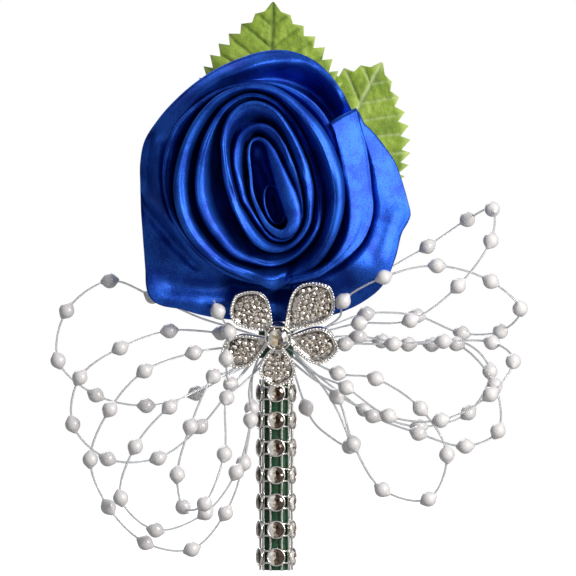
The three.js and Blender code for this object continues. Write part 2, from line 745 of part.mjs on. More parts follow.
// The outline of a tray as points, drawn in from its edge by an inset.
function trayOutline(size, inset) {
  const shrink = 1 - (2 * inset) / size.width;
  const points = [];
  const turn = THREE.MathUtils.degToRad(size.angle);
  const place = (share, side) => {
    const half = (size.width / 2) * Math.sin(Math.PI * share ** petal_power_share) ** petal_round_share;
    const along = size.length * (petal_root_share + (1 - petal_root_share) * share);
    const middle = size.length * petal_middle_share;
    const x = middle + (along - middle) * shrink;
    const z = side * half * shrink;
    points.push(new THREE.Vector2(x, z).rotateAround(new THREE.Vector2(), turn));
  };
  const ease = (step) => (1 - Math.cos((Math.PI * step) / petal_steps)) / 2;
  for (let step = 0; step < petal_steps; step += 1) place(ease(step), -1);
  for (let step = petal_steps; step > 0; step -= 1) place(ease(step), 1);
  return points;
}

function intoPlace(geometry) {
  geometry.rotateX(THREE.MathUtils.degToRad(flower_tilt));
  return geometry.translate(flower_x, -flower_back_depth, flower_z);
}

const collet_inner = centre_stone_radius + seat_gap;
const collet_outer = collet_inner + collet_wall;
const tray_front = flower_plate + flower_rim_height;

function setting() {
  const pieces = [];
  for (const size of flower_petals) {
    const outer = trayOutline(size, 0);
    const rim = new THREE.Shape(outer);
    rim.holes.push(new THREE.Path(trayOutline(size, flower_rim_width)));
    pieces.push(solid(plate(new THREE.Shape(outer), 0, flower_plate, 1)));
    pieces.push(solid(plate(rim, flower_plate / 2, tray_front, 1)));
  }
  const hub = solid(roundY(flower_hub_radius, flower_hub_radius, -tray_front, 0, 0, 0, round_sides));
  const collet_front = tray_front + collet_height;
  const collet = solid(roundY(collet_outer, collet_outer, -collet_front, -flower_plate, 0, 0, round_sides));
  const seat_front = collet_front + overrun;
  const seat = solid(roundY(collet_inner, collet_inner, -seat_front, -tray_front, 0, 0, round_sides));
  const cast = intoPlace(geometryOf(join([...pieces, hub, collet]).subtract(seat)));
  const post_back = stem_axis_depth + binding_radius + seat_gap;
  const post_front = flower_back_depth + flower_plate / 2;
  const post = roundY(flower_post_radius, flower_post_radius, -post_front, -post_back, 0, 0, small_sides);
  return geometryOf(solid(cast).add(solid(post.translate(flower_x, 0, flower_z))));
}
add("flower_setting", setting(), silver_plate());

// A bed of pave stones: a low crown that fills its tray.
const bed_level_shares = [[1, 0], [1, 0.4], [0.84, 0.75], [0.5, 0.95]]; // of outline and height

function paveBed(size) {
  const inset = flower_rim_width + seat_gap;
  const outline_points = trayOutline(size, inset);
  const middle = outline_points.reduce((sum, point) => sum.add(point), new THREE.Vector2());
  middle.divideScalar(outline_points.length);
  const back = flower_plate + seat_gap;
  const rise = tray_front + pave_rise - back;
  const levels = bed_level_shares.map(([spread, height]) => outline_points.map((point) => {
    const flat = middle.clone().lerp(point, spread);
    return new THREE.Vector3(flat.x, -back - rise * height, flat.y);
  }));
  const crown = new THREE.Vector3(middle.x, -back - rise, middle.y);
  const triangles = [];
  const count = outline_points.length;
  for (let level = 0; level + 1 < levels.length; level += 1) {
    for (let index = 0; index < count; index += 1) {
      const after = (index + 1) % count;
      const [a, b] = [levels[level][index], levels[level][after]];
      const [c, d] = [levels[level + 1][index], levels[level + 1][after]];
      triangles.push(a, b, d, a, d, c);
    }
  }
  const top = levels[levels.length - 1];
  for (let index = 0; index < count; index += 1) triangles.push(top[index], top[(index + 1) % count], crown);
  for (const [a, b, c] of THREE.ShapeUtils.triangulateShape(outline_points, [])) {
    triangles.push(levels[0][a], levels[0][c], levels[0][b]);
  }
  return intoPlace(new THREE.BufferGeometry().setFromPoints(triangles));
}
for (const size of flower_petals) add("pave_" + size.name, paveBed(size), crystal());

function centreStone() {
  const back = tray_front + seat_gap;
  const girdle_depth = tray_front + collet_height;
  const table = girdle_depth + centre_stone_rise;
  const profile = [
    new THREE.Vector2(0, back),
    new THREE.Vector2(centre_stone_radius * stone_table_share, back),
    new THREE.Vector2(centre_stone_radius, girdle_depth - seat_gap),
    new THREE.Vector2(centre_stone_radius, girdle_depth),
    new THREE.Vector2(centre_stone_radius * stone_table_share, table),
    new THREE.Vector2(0, table),
  ];
  return intoPlace(new THREE.LatheGeometry(profile, round_sides).rotateX(Math.PI));
}
add("centre_stone", centreStone(), crystal());

// Pearl sprays: small pearls moulded on a clear line, its ends bound to the stem. A route's points
// are [x, y, z] with z from the top of the binding, and a fourth value of 1 puts a pearl there.
const strands = {
  strand_left_1: [
    [-3.6, -5.9, -1], [-9, -6.5, 0.7], [-15, -8.5, 2.6], [-24, -10, 6.7, 1], [-32.3, -9.5, 9.7, 1],
    [-40.7, -8.5, 3.9, 1], [-42.4, -7.5, -5.8, 1], [-35.1, -6.5, -12.5, 1], [-25.3, -5.5, -14.6, 1],
    [-15.6, -4.5, -12.2, 1], [-8.5, -4.2, -7.8], [-2.9, -4.8, -4],
  ],
  strand_left_2: [
    [-3.8, -7.2, -1], [-10.7, -9.5, -0.4, 1], [-20.7, -11, 0, 1], [-30.2, -12.5, -3.3, 1],
    [-38, -12.5, -9, 1], [-39.4, -12, -18.1, 1], [-32.7, -11, -24.8, 1], [-22.9, -9.5, -24.7, 1],
    [-14.7, -8.5, -18.6, 1], [-8.5, -7, -10.8], [-3.6, -5.9, -4.3],
  ],
  strand_left_3: [
    [-3.6, -8.5, -2.4], [-8, -12, -3], [-15.9, -15.5, -4.2, 1], [-25.4, -16.5, -7.7, 1],
    [-32.1, -16.5, -15.1, 1], [-35.9, -16, -24.8, 1], [-32.4, -15.5, -34, 1],
    [-25.3, -15, -40.9, 1], [-16.3, -14.5, -42.2, 1], [-9.8, -14, -35.2, 1],
    [-6.3, -13.5, -25.6, 1], [-4.7, -12.5, -15, 1], [-4.7, -10.4, -9.3], [-3.4, -8.9, -5],
  ],
  strand_left_4: [
    [-2.9, -9.6, -1.2], [-6, -11.2, -6.6], [-12, -14.8, -9.8], [-20.5, -19.5, -14.6, 1],
    [-27.1, -20, -22.2, 1], [-29.9, -20, -32.1, 1], [-23.2, -19.5, -38.3, 1], [-13.6, -19, -35, 1],
    [-7.7, -18, -27.2, 1], [-4.9, -17, -17.1, 1], [-5.2, -13.6, -11.3], [-4.2, -11.8, -7.8],
    [-2.2, -10.3, -5],
  ],
  strand_left_5: [
    [-1.9, -10.5, -3], [-5, -12.4, -5.4], [-8, -13.6, -7.2], [-10, -15.6, -8.2],
    [-12.1, -18.5, -8.7, 1], [-16.5, -21, -18.3, 1], [-19, -21.5, -27.6, 1],
    [-17.9, -20.5, -33.8, 1], [-13.7, -27, -33, 1], [-9.9, -25, -23.5, 1], [-9.5, -19.5, -12.8, 1],
    [-6.5, -15.5, -10.2], [-1, -10.9, -5.1],
  ],
  strand_left_6: [
    [-12, -19.9, 6], [-11.2, -19.4, 3.8, 1], [-9.1, -17.6, -0.2, 1], [-9.6, -19.3, -5.3, 1],
    [-8.8, -14, -10.3, 1], [-5.9, -11.9, -7.7], [-3.1, -9.5, -3.8],
  ],
  strand_right_1: [
    [1.9, -10.5, -1.4], [5, -13.4, -1.5], [9, -16.1, 0.4], [12.3, -18, 2.8], [12.9, -20.2, 5.8, 1],
    [20.7, -19.6, 10.4, 1], [31, -18, 12.6, 1], [41.4, -17, 9.6, 1], [47.1, -16, 4.3, 1],
    [43.5, -9.5, -0.1, 1], [36.1, -6, -0.5, 1], [27.4, -4.5, 2.9, 1], [17.5, -5.5, 3.3, 1],
    [10, -5.5, 0.7], [3.6, -5.9, -1],
  ],
  strand_right_2: [
    [2.9, -4.8, -0.4], [10, -6, 3.2], [18.5, -8.5, 9.7, 1], [23.8, -8, 13.2], [29.4, -8, 16.4, 1],
    [37.1, -9.5, 21.6, 1], [41.7, -17, 23.5, 1], [41.2, -23.5, 17.4, 1], [34.9, -24, 8.7, 1],
    [25.8, -22.5, 2.1, 1], [16, -19, 1.5, 1], [10.5, -14.8, 0.2], [5, -12.5, -1], [2.9, -9.6, -1.8],
  ],
  strand_right_3: [
    [3.8, -7.2, -1.8], [15.9, -9, -1.1, 1], [25.6, -9, -2.6, 1], [34.9, -9.5, -2.5, 1],
    [42.4, -10.5, -10.6, 1], [43, -10.5, -19.4, 1], [36.7, -9.5, -22.4, 1], [27.6, -9, -19.9, 1],
    [18.7, -8.5, -16.5, 1], [11, -8, -11], [6.5, -7.5, -7.3], [3.6, -8.5, -4.3],
  ],
  strand_right_4: [
    [3.6, -8.5, -3], [13.3, -13, -2.5, 1], [22.6, -13.5, -2.5, 1], [32.3, -14, -2, 1],
    [41.7, -14, -2.2, 1], [45.6, -21, -5.8, 1], [41.1, -24, -12.1, 1], [31.6, -22.5, -17.1, 1],
    [21.6, -20, -16.3, 1], [13.5, -17.5, -10.9, 1], [7.5, -13, -8.3], [2.9, -9.6, -4.8],
  ],
  strand_right_5: [
    [3.6, -5.9, -2.4], [20.5, -4.8, -2, 1], [30.3, -5, -2.7, 1], [37.4, -5.3, -2.7],
    [41.6, -6, -7.9, 1], [37.4, -5.5, -16, 1], [27.8, -5, -18.7, 1], [17.1, -4.8, -15.3, 1],
    [8, -4.6, -9.8], [2.9, -4.8, -3.6],
  ],
  strand_right_6: [
    [1.9, -10.5, -3.2], [11.9, -12.3, -8.2, 1], [19.2, -15.5, -9.2, 1], [27.8, -18, -14.9, 1],
    [32.9, -18.5, -23.8, 1], [29.4, -17.5, -32.4, 1], [20.5, -16, -30.6, 1],
    [14.9, -14.5, -21.8, 1], [11.7, -13, -12.7, 1], [6.5, -11.5, -8.8], [1.9, -10.5, -5],
  ],
  strand_right_7: [
    [1.9, -3.9, -2.8], [5.8, -5, -15, 1], [7.3, -5.5, -17.8], [9.5, -7, -19.9],
    [14.2, -11.2, -22.4, 1], [12.5, -11, -16.8], [9, -10, -10.8], [3.8, -7.2, -5],
  ],
};
const strand_sides = 6;
const pearl_ring_angles = [45, 90, 135]; // from the pole where the line comes in
const bend_limit = 30; // degrees between two points, past which the line gets a ring between them

// The rings of a strand in order: a centre, the direction of the line there, and a radius.
function strandRings(route) {
  const points = route.map(([x, y, z]) => new THREE.Vector3(x, y, z));
  const curve = new THREE.CatmullRomCurve3(points, false, "centripetal");
  const line_radius = line_diameter / 2;
  const entry = Math.sqrt(pearl_radius ** 2 - line_radius ** 2);
  const rings = [];
  route.forEach((place, index) => {
    const share = index / (route.length - 1);
    const along = curve.getTangent(share);
    const ring = (offset, radius) => rings.push({
      centre: points[index].clone().addScaledVector(along, offset),
      along,
      radius,
    });
    if (place[3]) {
      ring(-entry, line_radius);
      for (const angle of pearl_ring_angles) {
        const turn = THREE.MathUtils.degToRad(angle);
        ring(-pearl_radius * Math.cos(turn), pearl_radius * Math.sin(turn));
      }
      ring(entry, line_radius);
    } else {
      ring(0, line_radius);
    }
    if (index + 1 === route.length) return;
    const between = (index + middle_share) / (route.length - 1);
    const bend = along.angleTo(curve.getTangent((index + 1) / (route.length - 1)));
    if (bend < THREE.MathUtils.degToRad(bend_limit)) return;
    rings.push({ centre: curve.getPoint(between), along: curve.getTangent(between), radius: line_radius });
  });
  return rings;
}

function strand(route) {
  const rings = strandRings(route);
  const side = new THREE.Vector3(0, 1, 0).cross(rings[0].along).normalize();
  const sections = rings.map(({ centre, along, radius }) => {
    side.addScaledVector(along, -side.dot(along)).normalize();
    const up = along.clone().cross(side);
    return Array.from({ length: strand_sides }, (_, index) => {
      const turn = (2 * Math.PI * index) / strand_sides;
      const point = centre.clone().addScaledVector(side, radius * Math.cos(turn));
      return point.addScaledVector(up, radius * Math.sin(turn));
    });
  });
  const triangles = [];
  for (let index = 0; index + 1 < sections.length; index += 1) {
    for (let corner = 0; corner < strand_sides; corner += 1) {
      const after = (corner + 1) % strand_sides;
      const [a, b] = [sections[index][corner], sections[index][after]];
      const [c, d] = [sections[index + 1][corner], sections[index + 1][after]];
      triangles.push(a, b, d, a, d, c);
    }
  }
  const first = sections[0];
  const last = sections[sections.length - 1];
  for (let corner = 1; corner + 1 < strand_sides; corner += 1) {
    triangles.push(first[0], first[corner + 1], first[corner]);
    triangles.push(last[0], last[corner], last[corner + 1]);
  }
  return new THREE.BufferGeometry().setFromPoints(triangles);
}
for (const [name, route] of Object.entries(strands)) {
  add(name, strand(route).translate(0, 0, binding_top_z), pearl());
}

export default group;
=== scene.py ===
"""A satin rose brooch with leaves, a rhinestone flower, a banded stem and sprays of pearls.

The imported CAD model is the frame. Each sub-assembly is a class that builds its pieces on it,
dresses them and says which body they ride on. Sizes ending in _mm are millimetres, and every
object is made in metres.
"""
import logging
import math
import random
from collections.abc import Callable, Iterator
from dataclasses import dataclass
from enum import Enum

import bpy
import numpy as np
from bpy.types import ID, Material, Node, NodeSocket, NodeTree, Object
from mathutils import Matrix, Vector, noise


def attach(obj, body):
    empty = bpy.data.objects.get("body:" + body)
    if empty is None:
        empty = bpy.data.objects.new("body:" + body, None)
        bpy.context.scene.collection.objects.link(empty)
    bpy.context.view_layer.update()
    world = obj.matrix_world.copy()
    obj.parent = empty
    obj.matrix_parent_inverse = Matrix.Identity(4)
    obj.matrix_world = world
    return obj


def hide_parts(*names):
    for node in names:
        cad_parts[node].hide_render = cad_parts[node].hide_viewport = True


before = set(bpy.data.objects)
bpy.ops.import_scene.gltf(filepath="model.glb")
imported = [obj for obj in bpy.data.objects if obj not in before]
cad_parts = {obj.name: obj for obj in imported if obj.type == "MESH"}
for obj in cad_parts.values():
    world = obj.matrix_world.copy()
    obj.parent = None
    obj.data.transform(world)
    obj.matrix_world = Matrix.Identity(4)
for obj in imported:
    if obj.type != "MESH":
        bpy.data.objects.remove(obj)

logging.basicConfig(level=logging.INFO, format="%(name)s: %(message)s")
log = logging.getLogger("brooch")

MM = 0.001
Vec3 = tuple[float, float, float]
Table = tuple[tuple[float, float], ...]
Profile = list[tuple[float, float]]
Route = tuple[tuple[int, int, int, int], ...]


class Body(Enum):
    """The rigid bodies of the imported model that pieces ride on."""

    BROOCH = "brooch"
    NEEDLE = "needle"
    ROTOR = "rotor"


def linear(colour: str) -> tuple[float, float, float, float]:
    """Turn an sRGB hex colour into linear light.

    Args:
        colour: The colour as "#rrggbb".

    Returns:
        Red, green, blue and an alpha of 1.
    """
    parts = [int(colour[i : i + 2], 16) / 255 for i in (1, 3, 5)]
    light = [p / 12.92 if p <= 0.04045 else ((p + 0.055) / 1.055) ** 2.4 for p in parts]
    return (light[0], light[1], light[2], 1.0)


def grain(place: NodeSocket, size_mm: float, detail: float) -> dict:
    """Set up a pattern by the real size of its features.

    Args:
        place: The socket that gives a place on the object.
        size_mm: How far apart the features are.
        detail: How many finer layers they have.

    Returns:
        The pattern's inputs.
    """
    return {"Vector": place, "Scale": 1 / (size_mm * MM), "Detail": detail}


def turns(count: int) -> list[float]:
    """Return the angles of evenly spaced points round a ring, in radians."""
    return [2 * math.pi * k / count for k in range(count)]


def add_node(tree: NodeTree, kind: str, links: dict | None = None, **settings: str) -> Node:
    """Add one shader node with its settings and links.

    Args:
        tree: The node tree that takes the node.
        kind: The node's type name without the "ShaderNode" at its start.
        links: For each input, by name or number, a value or the output socket that feeds it.
        **settings: Properties of the node itself.

    Returns:
        The new node.
    """
    node = tree.nodes.new("ShaderNode" + kind)
    for name, value in settings.items():
        setattr(node, name, value)
    for key, value in (links or {}).items():
        if isinstance(value, NodeSocket):
            tree.links.new(value, node.inputs[key])
        else:
            node.inputs[key].default_value = value
    return node


def ramp(tree: NodeTree, factor: NodeSocket, stops: list[tuple[float, str]]) -> NodeSocket:
    """Map a factor to colours.

    Args:
        tree: The node tree.
        factor: The socket that picks the colour.
        stops: Places from 0 to 1, each with its hex colour, in order.

    Returns:
        The colour socket.
    """
    node = add_node(tree, "ValToRGB", {"Fac": factor})
    band = node.color_ramp
    while len(band.elements) < len(stops):
        band.elements.new(0.5)
    for element, (place, colour) in zip(band.elements, stops):
        element.position = place
        element.color = linear(colour)
    return node.outputs["Color"]


def new_material(name: str) -> tuple[Material, NodeTree, NodeSocket]:
    """Start a material.

    Args:
        name: The material's name.

    Returns:
        The material, its node tree and the socket that gives a place on the object in metres.
    """
    material = bpy.data.materials.new(name)
    material.use_nodes = True
    tree = material.node_tree
    tree.nodes.clear()
    return material, tree, add_node(tree, "TexCoord").outputs["Object"]


def surface(material: Material, sockets: dict, relief: tuple[NodeSocket, float, float] | None = None) -> Material:
    """Close a material with one principled shader.

    Args:
        material: The material.
        sockets: For each of the shader's inputs, a value or the output socket that feeds it.
        relief: The socket of its relief, how strong that is and how high it is in millimetres.

    Returns:
        The same material.
    """
    tree = material.node_tree
    if relief:
        bump = add_node(tree, "Bump", {"Height": relief[0], "Strength": relief[1], "Distance": relief[2] * MM})
        sockets["Normal"] = bump.outputs["Normal"]
    shader = add_node(tree, "BsdfPrincipled", sockets)
    add_node(tree, "OutputMaterial", {"Surface": shader.outputs["BSDF"]})
    return material


def at(table: Table, angle: float, closed: bool = True) -> float:
    """Read a table of (degrees, value) rows on a smooth curve through its rows.

    Args:
        table: Rows in rising order of angle.
        angle: Where to read it, in degrees.
        closed: Whether the table goes all the way round and joins itself.

    Returns:
        The value at that angle.
    """
    places = [row[0] for row in table]
    values = [row[1] for row in table]
    if closed:
        angle = places[0] + (angle - places[0]) % 360
        places = [p - 360 for p in places[-2:]] + places + [p + 360 for p in places[:2]]
        values = values[-2:] + values + values[:2]
    else:
        angle = min(max(angle, places[0]), places[-1])
        places = [2 * places[0] - places[1]] + places + [2 * places[-1] - places[-2]]
        values = [2 * values[0] - values[1]] + values + [2 * values[-1] - values[-2]]
    i = max(1, min(int(np.searchsorted(places, angle, side="right")) - 1, len(places) - 3))
    gap = places[i + 1] - places[i]
    t = (angle - places[i]) / gap
    slopes = [(values[j + 1] - values[j - 1]) / (places[j + 1] - places[j - 1]) * gap for j in (i, i + 1)]
    return (
        (2 * t**3 - 3 * t**2 + 1) * values[i]
        + (t**3 - 2 * t**2 + t) * slopes[0]
        + (3 * t**2 - 2 * t**3) * values[i + 1]
        + (t**3 - t**2) * slopes[1]
    )


def even(*values: float) -> Table:
    """Spread values over a full turn at even steps, from 0 degrees on."""
    return tuple((360.0 * i / len(values), v) for i, v in enumerate(values))


def inside(spot: Vector, edge: list[Vector]) -> bool:
    """Tell whether a flat point lies inside a closed outline.

    Args:
        spot: The point.
        edge: The outline's points in order.

    Returns:
        True if it does.
    """
    found = False
    for a, b in zip(edge, edge[1:] + edge[:1]):
        if (a.y > spot.y) != (b.y > spot.y) and spot.x < (b.x - a.x) * (spot.y - a.y) / (b.y - a.y) + a.x:
            found = not found
    return found


def put(name: str, data: ID) -> Object:
    """Make an object and put it in the scene.

    Args:
        name: The object's name.
        data: Its mesh, curve, camera or light.

    Returns:
        The new object.
    """
    obj = bpy.data.objects.new(name, data)
    bpy.context.scene.collection.objects.link(obj)
    return obj


def dress(obj: Object, slot: str, material: Material, *nodes: str) -> None:
    """Give a piece its material and its body, and hide the CAD nodes that it replaces.

    Args:
        obj: The piece.
        slot: Not used.
        material: The material.
        *nodes: The CAD nodes that the piece replaces.
    """
    obj.data.materials.clear()
    obj.data.materials.append(material)
    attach(obj, Body.BROOCH.value)
    if nodes:
        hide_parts(*nodes)


class Shell:
    """Points and faces of one mesh as it grows, in metres."""

    def __init__(self) -> None:
        """Start with nothing."""
        self.points: list[Vec3] = []
        self.faces: list[tuple[int, ...]] = []

    def add(self, points: list, faces: list) -> None:
        """Add loose geometry.

        Args:
            points: The points.
            faces: Faces that number those points from 0.
        """
        start = len(self.points)
        self.points.extend(tuple(p) for p in points)
        self.faces.extend(tuple(start + i for i in face) for face in faces)

    def grid(self, rows: list[list[Vec3]], round_rows: bool = False, round_columns: bool = False) -> None:
        """Add a surface through rows of points.

        Args:
            rows: Rows with the same number of points.
            round_rows: Whether the last row joins the first.
            round_columns: Whether each row's last point joins its first.
        """
        count = len(rows[0])
        faces = []
        for j in range(len(rows) if round_rows else len(rows) - 1):
            k = (j + 1) % len(rows)
            for i in range(count if round_columns else count - 1):
                m = (i + 1) % count
                faces.append((j * count + i, j * count + m, k * count + m, k * count + i))
        self.add([p for row in rows for p in row], faces)

    def cap(self, start: int, count: int, back: bool) -> None:
        """Close a ring of points with one face.

        Args:
            start: The ring's first point, counted from the mesh's end where it is negative.
            count: Points in the ring.
            back: Whether the face runs round the ring backwards.
        """
        first = start if start >= 0 else len(self.points) + start
        ring = range(first, first + count)
        self.faces.append(tuple(reversed(ring) if back else ring))

    def lathe(self, profile: Profile, count: int, place: Matrix, milled: float = 0.0, above: float = math.inf) -> None:
        """Turn a profile round the Z axis of a frame.

        Args:
            profile: Pairs of radius and height.
            count: Points in a ring.
            place: The frame.
            milled: How far every second point of a milled edge stands out.
            above: The height from which on the surface is milled.
        """
        rings = []
        for radius, high in profile:
            out = milled if high > above else 0.0
            reach = [(radius + out * (k % 2), t) for k, t in enumerate(turns(count))]
            rings.append([tuple(place @ Vector((r * math.cos(t), r * math.sin(t), high))) for r, t in reach])
        self.grid(rings, round_columns=True)

    def tube(self, path: list[Vector], radii: list[float], sides: int) -> None:
        """Add a round tube along a path, closed at both ends.

        Args:
            path: The middle of each ring.
            radii: The radius of each ring.
            sides: Points in a ring.
        """
        rings = []
        side = path[0].copy()
        for i, middle in enumerate(path):
            along = (path[min(i + 1, len(path) - 1)] - path[max(i - 1, 0)]).normalized()
            if i == 0:
                side = along.orthogonal().normalized()
            side = (side - along * side.dot(along)).normalized()
            up = along.cross(side)
            ring = [middle + (side * math.cos(t) + up * math.sin(t)) * radii[i] for t in turns(sides)]
            rings.append([tuple(spot) for spot in ring])
        self.grid(rings, round_columns=True)
        self.cap(-sides * len(rings), sides, True)
        self.cap(-sides, sides, False)

    def ball(
        self, middle: Vec3, radius: float, rings: int, sides: int, axis: Vec3 = (0, 0, 1), neck: float = 0.0
    ) -> None:
        """Add a ball whose poles lie on an axis.

        Args:
            middle: Its centre.
            radius: Its radius.
            rings: Rings of points between the poles.
            sides: Points in a ring.
            axis: The direction of the poles.
            neck: How far its poles are drawn out, as a share of the radius.
        """
        tight = 16
        turn = Vector(axis).to_track_quat("Z", "Y").to_matrix()
        centre = Vector(middle)
        pole = turn @ Vector((0, 0, radius * (1 + neck)))
        points = [centre + pole]
        for j in range(1, rings + 1):
            fall = math.pi * j / (rings + 1)
            for t in turns(sides):
                spot = Vector((math.sin(fall) * math.cos(t), math.sin(fall) * math.sin(t), math.cos(fall)))
                points.append(centre + turn @ (spot * radius * (1 + neck * abs(math.cos(fall)) ** tight)))
        points.append(centre - pole)
        faces: list[tuple[int, ...]] = [(0, 1 + k, 1 + (k + 1) % sides) for k in range(sides)]
        for j in range(rings - 1):
            a, b = 1 + j * sides, 1 + (j + 1) * sides
            faces += [(a + k, b + k, b + (k + 1) % sides, a + (k + 1) % sides) for k in range(sides)]
        a = 1 + (rings - 1) * sides
        faces += [(a + k, len(points) - 1, a + (k + 1) % sides) for k in range(sides)]
        self.add(points, faces)

    def build(self, name: str, smooth: bool = True) -> Object:
        """Make the mesh object.

        Args:
            name: The object's name.
            smooth: Whether the faces are shaded smooth.

        Returns:
            The new object.
        """
        mesh = bpy.data.meshes.new(name)
        mesh.from_pydata(self.points, [], self.faces)
        mesh.validate()
        mesh.update()
        mesh.polygons.foreach_set("use_smooth", [smooth] * len(mesh.polygons))
        return put(name, mesh)


@dataclass(frozen=True)
class Nylon:
    """Clear monofilament line, drawn smooth: thin, so it shows as a pale grey hairline with a soft glint."""

    colour: str = "#e9ebee"
    shade: str = "#d3d7dc"
    drawn_mm: float = 1.2
    roughness: float = 0.18
    ior: float = 1.53
    clearness: float = 0.7

    def make(self) -> Material:
        """Build the material.

        Returns:
            The material.
        """
        material, tree, place = new_material("nylon_line")
        drawn = add_node(tree, "TexNoise", grain(place, self.drawn_mm, 1.0))
        return surface(material, {
            "Base Color": ramp(tree, drawn.outputs["Fac"], [(0.3, self.shade), (0.7, self.colour)]),
            "Roughness": self.roughness,
            "IOR": self.ior,
            "Transmission Weight": self.clearness,
        })


@dataclass(frozen=True)
class Pearl:
    """Moulded ABS pearl with a mica lacquer: a white body under a warm, slightly coloured gloss."""

    body: str = "#dcdbdc"
    # shade and rim are painted shade: the greys the pearl darkens to towards its rim, broken up by the mica flakes.
    shade: str = "#bdbcc1"
    rim: str = "#95949b"
    bloom: str = "#f4f4fa"
    roughness: float = 0.24
    ior: float = 1.55
    coat: float = 0.8
    mica_mm: float = 0.9

    def make(self) -> Material:
        """Build the material, with painted shade that darkens the pearl towards its rim, where it faces away from the
        eye.

        Returns:
            The material.
        """
        material, tree, place = new_material("pearl_lacquer")
        # Painted shade: the facing weight, times the random mica flakes, darkens the pearl towards its rim.
        facing = add_node(tree, "LayerWeight", {"Blend": 0.4}).outputs["Facing"]
        flakes = add_node(tree, "TexNoise", grain(place, self.mica_mm, 2.0))
        mica = flakes.outputs["Fac"]
        painted_light_and_grain = add_node(tree, "Math", {0: facing, 1: mica}, operation="MULTIPLY").outputs[0]
        rough = add_node(tree, "MapRange", {"Value": mica, "To Min": self.roughness, "To Max": self.roughness + 0.1})
        return surface(material, {
            "Base Color": ramp(tree, painted_light_and_grain, [(0.0, self.body), (0.45, self.shade), (0.8, self.rim)]),
            "Roughness": rough.outputs["Result"],
            "IOR": self.ior,
            "Coat Weight": self.coat,
            "Coat Roughness": 0.1,
            "Sheen Weight": 0.15,
            "Sheen Tint": linear(self.bloom),
        })


@dataclass(frozen=True)
class Satin:
    """Woven polyester satin ribbon: long dyed floats that throw back a broad blue sheen and go near black in a fold."""

    dye: str = "#245dc6"
    dye_deep: str = "#0e3492"
    edge: str = "#8fb2ff"
    metal_share: float = 0.92
    roughness: float = 0.52
    ior: float = 1.5
    coat: float = 0.14
    coat_roughness: float = 0.38
    patch_mm: float = 5.0
    float_mm: float = 0.3
    ridge_mm: float = 0.24
    ridge_high_mm: float = 0.06

    def make(self) -> Material:
        """Build the material.

        Returns:
            The material. Real threads are 0.1 mm apart; they are drawn at 0.24 mm, or they wouldn't show.
        """
        material, tree, place = new_material("satin_weave")
        patch = add_node(tree, "TexNoise", grain(place, self.patch_mm, 2.0))
        floats = grain(place, self.float_mm, 3.0) | {"Roughness": 0.7}
        pores = add_node(tree, "TexNoise", floats).outputs["Fac"]
        tone = add_node(tree, "Math", {0: patch.outputs["Fac"], 1: pores}, operation="MULTIPLY").outputs[0]
        smooth, rough = self.roughness - 0.08, self.roughness + 0.1
        dull = add_node(tree, "MapRange", {"Value": pores, "To Min": smooth, "To Max": rough})
        threads = add_node(tree, "TexNoise", grain(place, self.ridge_mm, 1.0))
        return surface(material, {
            "Base Color": ramp(tree, tone, [(0.17, self.dye_deep), (0.33, self.dye)]),
            "Roughness": dull.outputs["Result"],
            "Metallic": self.metal_share,
            "IOR": self.ior,
            "Specular Tint": linear(self.edge),
            "Coat Weight": self.coat,
            "Coat Roughness": self.coat_roughness,
        }, (threads.outputs["Fac"], 0.95, self.ridge_high_mm))


# Crest lines of the rose's folds: radius in millimetres from its middle, every 15 degrees from the
# right, turning up and to the left.
BUD_RIM = even(
    3.0, 2.7, 2.7, 2.8, 3.2, 4.2, 6.6, 9.3, 8.5, 6.3, 5.0, 4.4, 4.0, 4.0, 4.0, 4.4, 5.0, 6.3, 8.3, 9.2, 8.0, 6.5,
    4.9, 3.6,
)
FIRST_FOLD = even(
    5.2, 5.0, 5.1, 5.6, 6.6, 8.5, 11.0, 12.1, 11.6, 9.8, 8.0, 6.7, 6.0, 5.7, 5.8, 5.9, 6.6, 7.9, 9.9, 10.6, 9.6,
    8.2, 6.7, 5.7,
)
SECOND_FOLD = even(
    7.2, 7.0, 7.3, 8.0, 9.3, 11.6, 14.7, 16.3, 15.4, 13.0, 10.4, 8.9, 8.1, 7.7, 7.8, 8.3, 9.5, 11.1, 12.1, 12.1,
    11.1, 9.8, 8.4, 7.6,
)
THIRD_FOLD = even(
    9.3, 9.0, 9.3, 9.9, 11.3, 13.6, 16.4, 17.9, 17.3, 15.9, 14.8, 14.0, 13.7, 13.7, 13.7, 13.8, 14.4, 14.4, 14.7,
    14.1, 13.0, 11.9, 10.7, 9.8,
)
FOURTH_FOLD = even(
    12.8, 12.6, 12.8, 13.5, 14.6, 16.3, 18.4, 19.4, 19.4, 18.7, 18.0, 17.6, 17.6, 17.6, 17.6, 17.4, 17.2, 17.4,
    18.0, 17.3, 16.6, 15.3, 14.1, 13.3,
)
EDGE_FOLD = even(
    15.1, 14.7, 15.0, 16.2, 17.7, 19.0, 20.1, 20.7, 21.1, 21.3, 21.6, 21.1, 20.5, 19.9, 19.4, 19.0, 18.8, 18.8,
    18.9, 18.8, 19.3, 18.7, 17.5, 16.0,
)
PANEL_EDGE: Table = (
    (-76, 18.6), (-60, 19.4), (-45, 19.9), (-30, 20.4), (-15, 20.1), (0, 19.2), (15, 19.3), (30, 20.3), (38, 21.0),
    (48, 22.2),
)
OUTLINE: Table = (
    (0, 25.6), (6, 24.9), (12, 24.3), (20, 23.2), (30, 22.2), (38, 21.4), (45, 21.6), (52, 22.6), (60, 23.9),
    (68, 25.2), (75, 26.0), (84, 26.4), (92, 26.2), (105, 25.4), (120, 25.0), (135, 25.0), (150, 25.6), (160, 26.2),
    (170, 25.9), (180, 25.5), (195, 26.1), (205, 27.4), (213, 29.2), (219, 31.2), (223, 31.9), (227, 31.4),
    (233, 29.6), (240, 28.5), (250, 27.2), (262, 26.2), (275, 26.2), (285, 26.8), (297, 27.6), (308, 28.4),
    (318, 28.7), (330, 27.6), (340, 26.7), (346, 27.3), (349, 27.4), (354, 26.5),
)
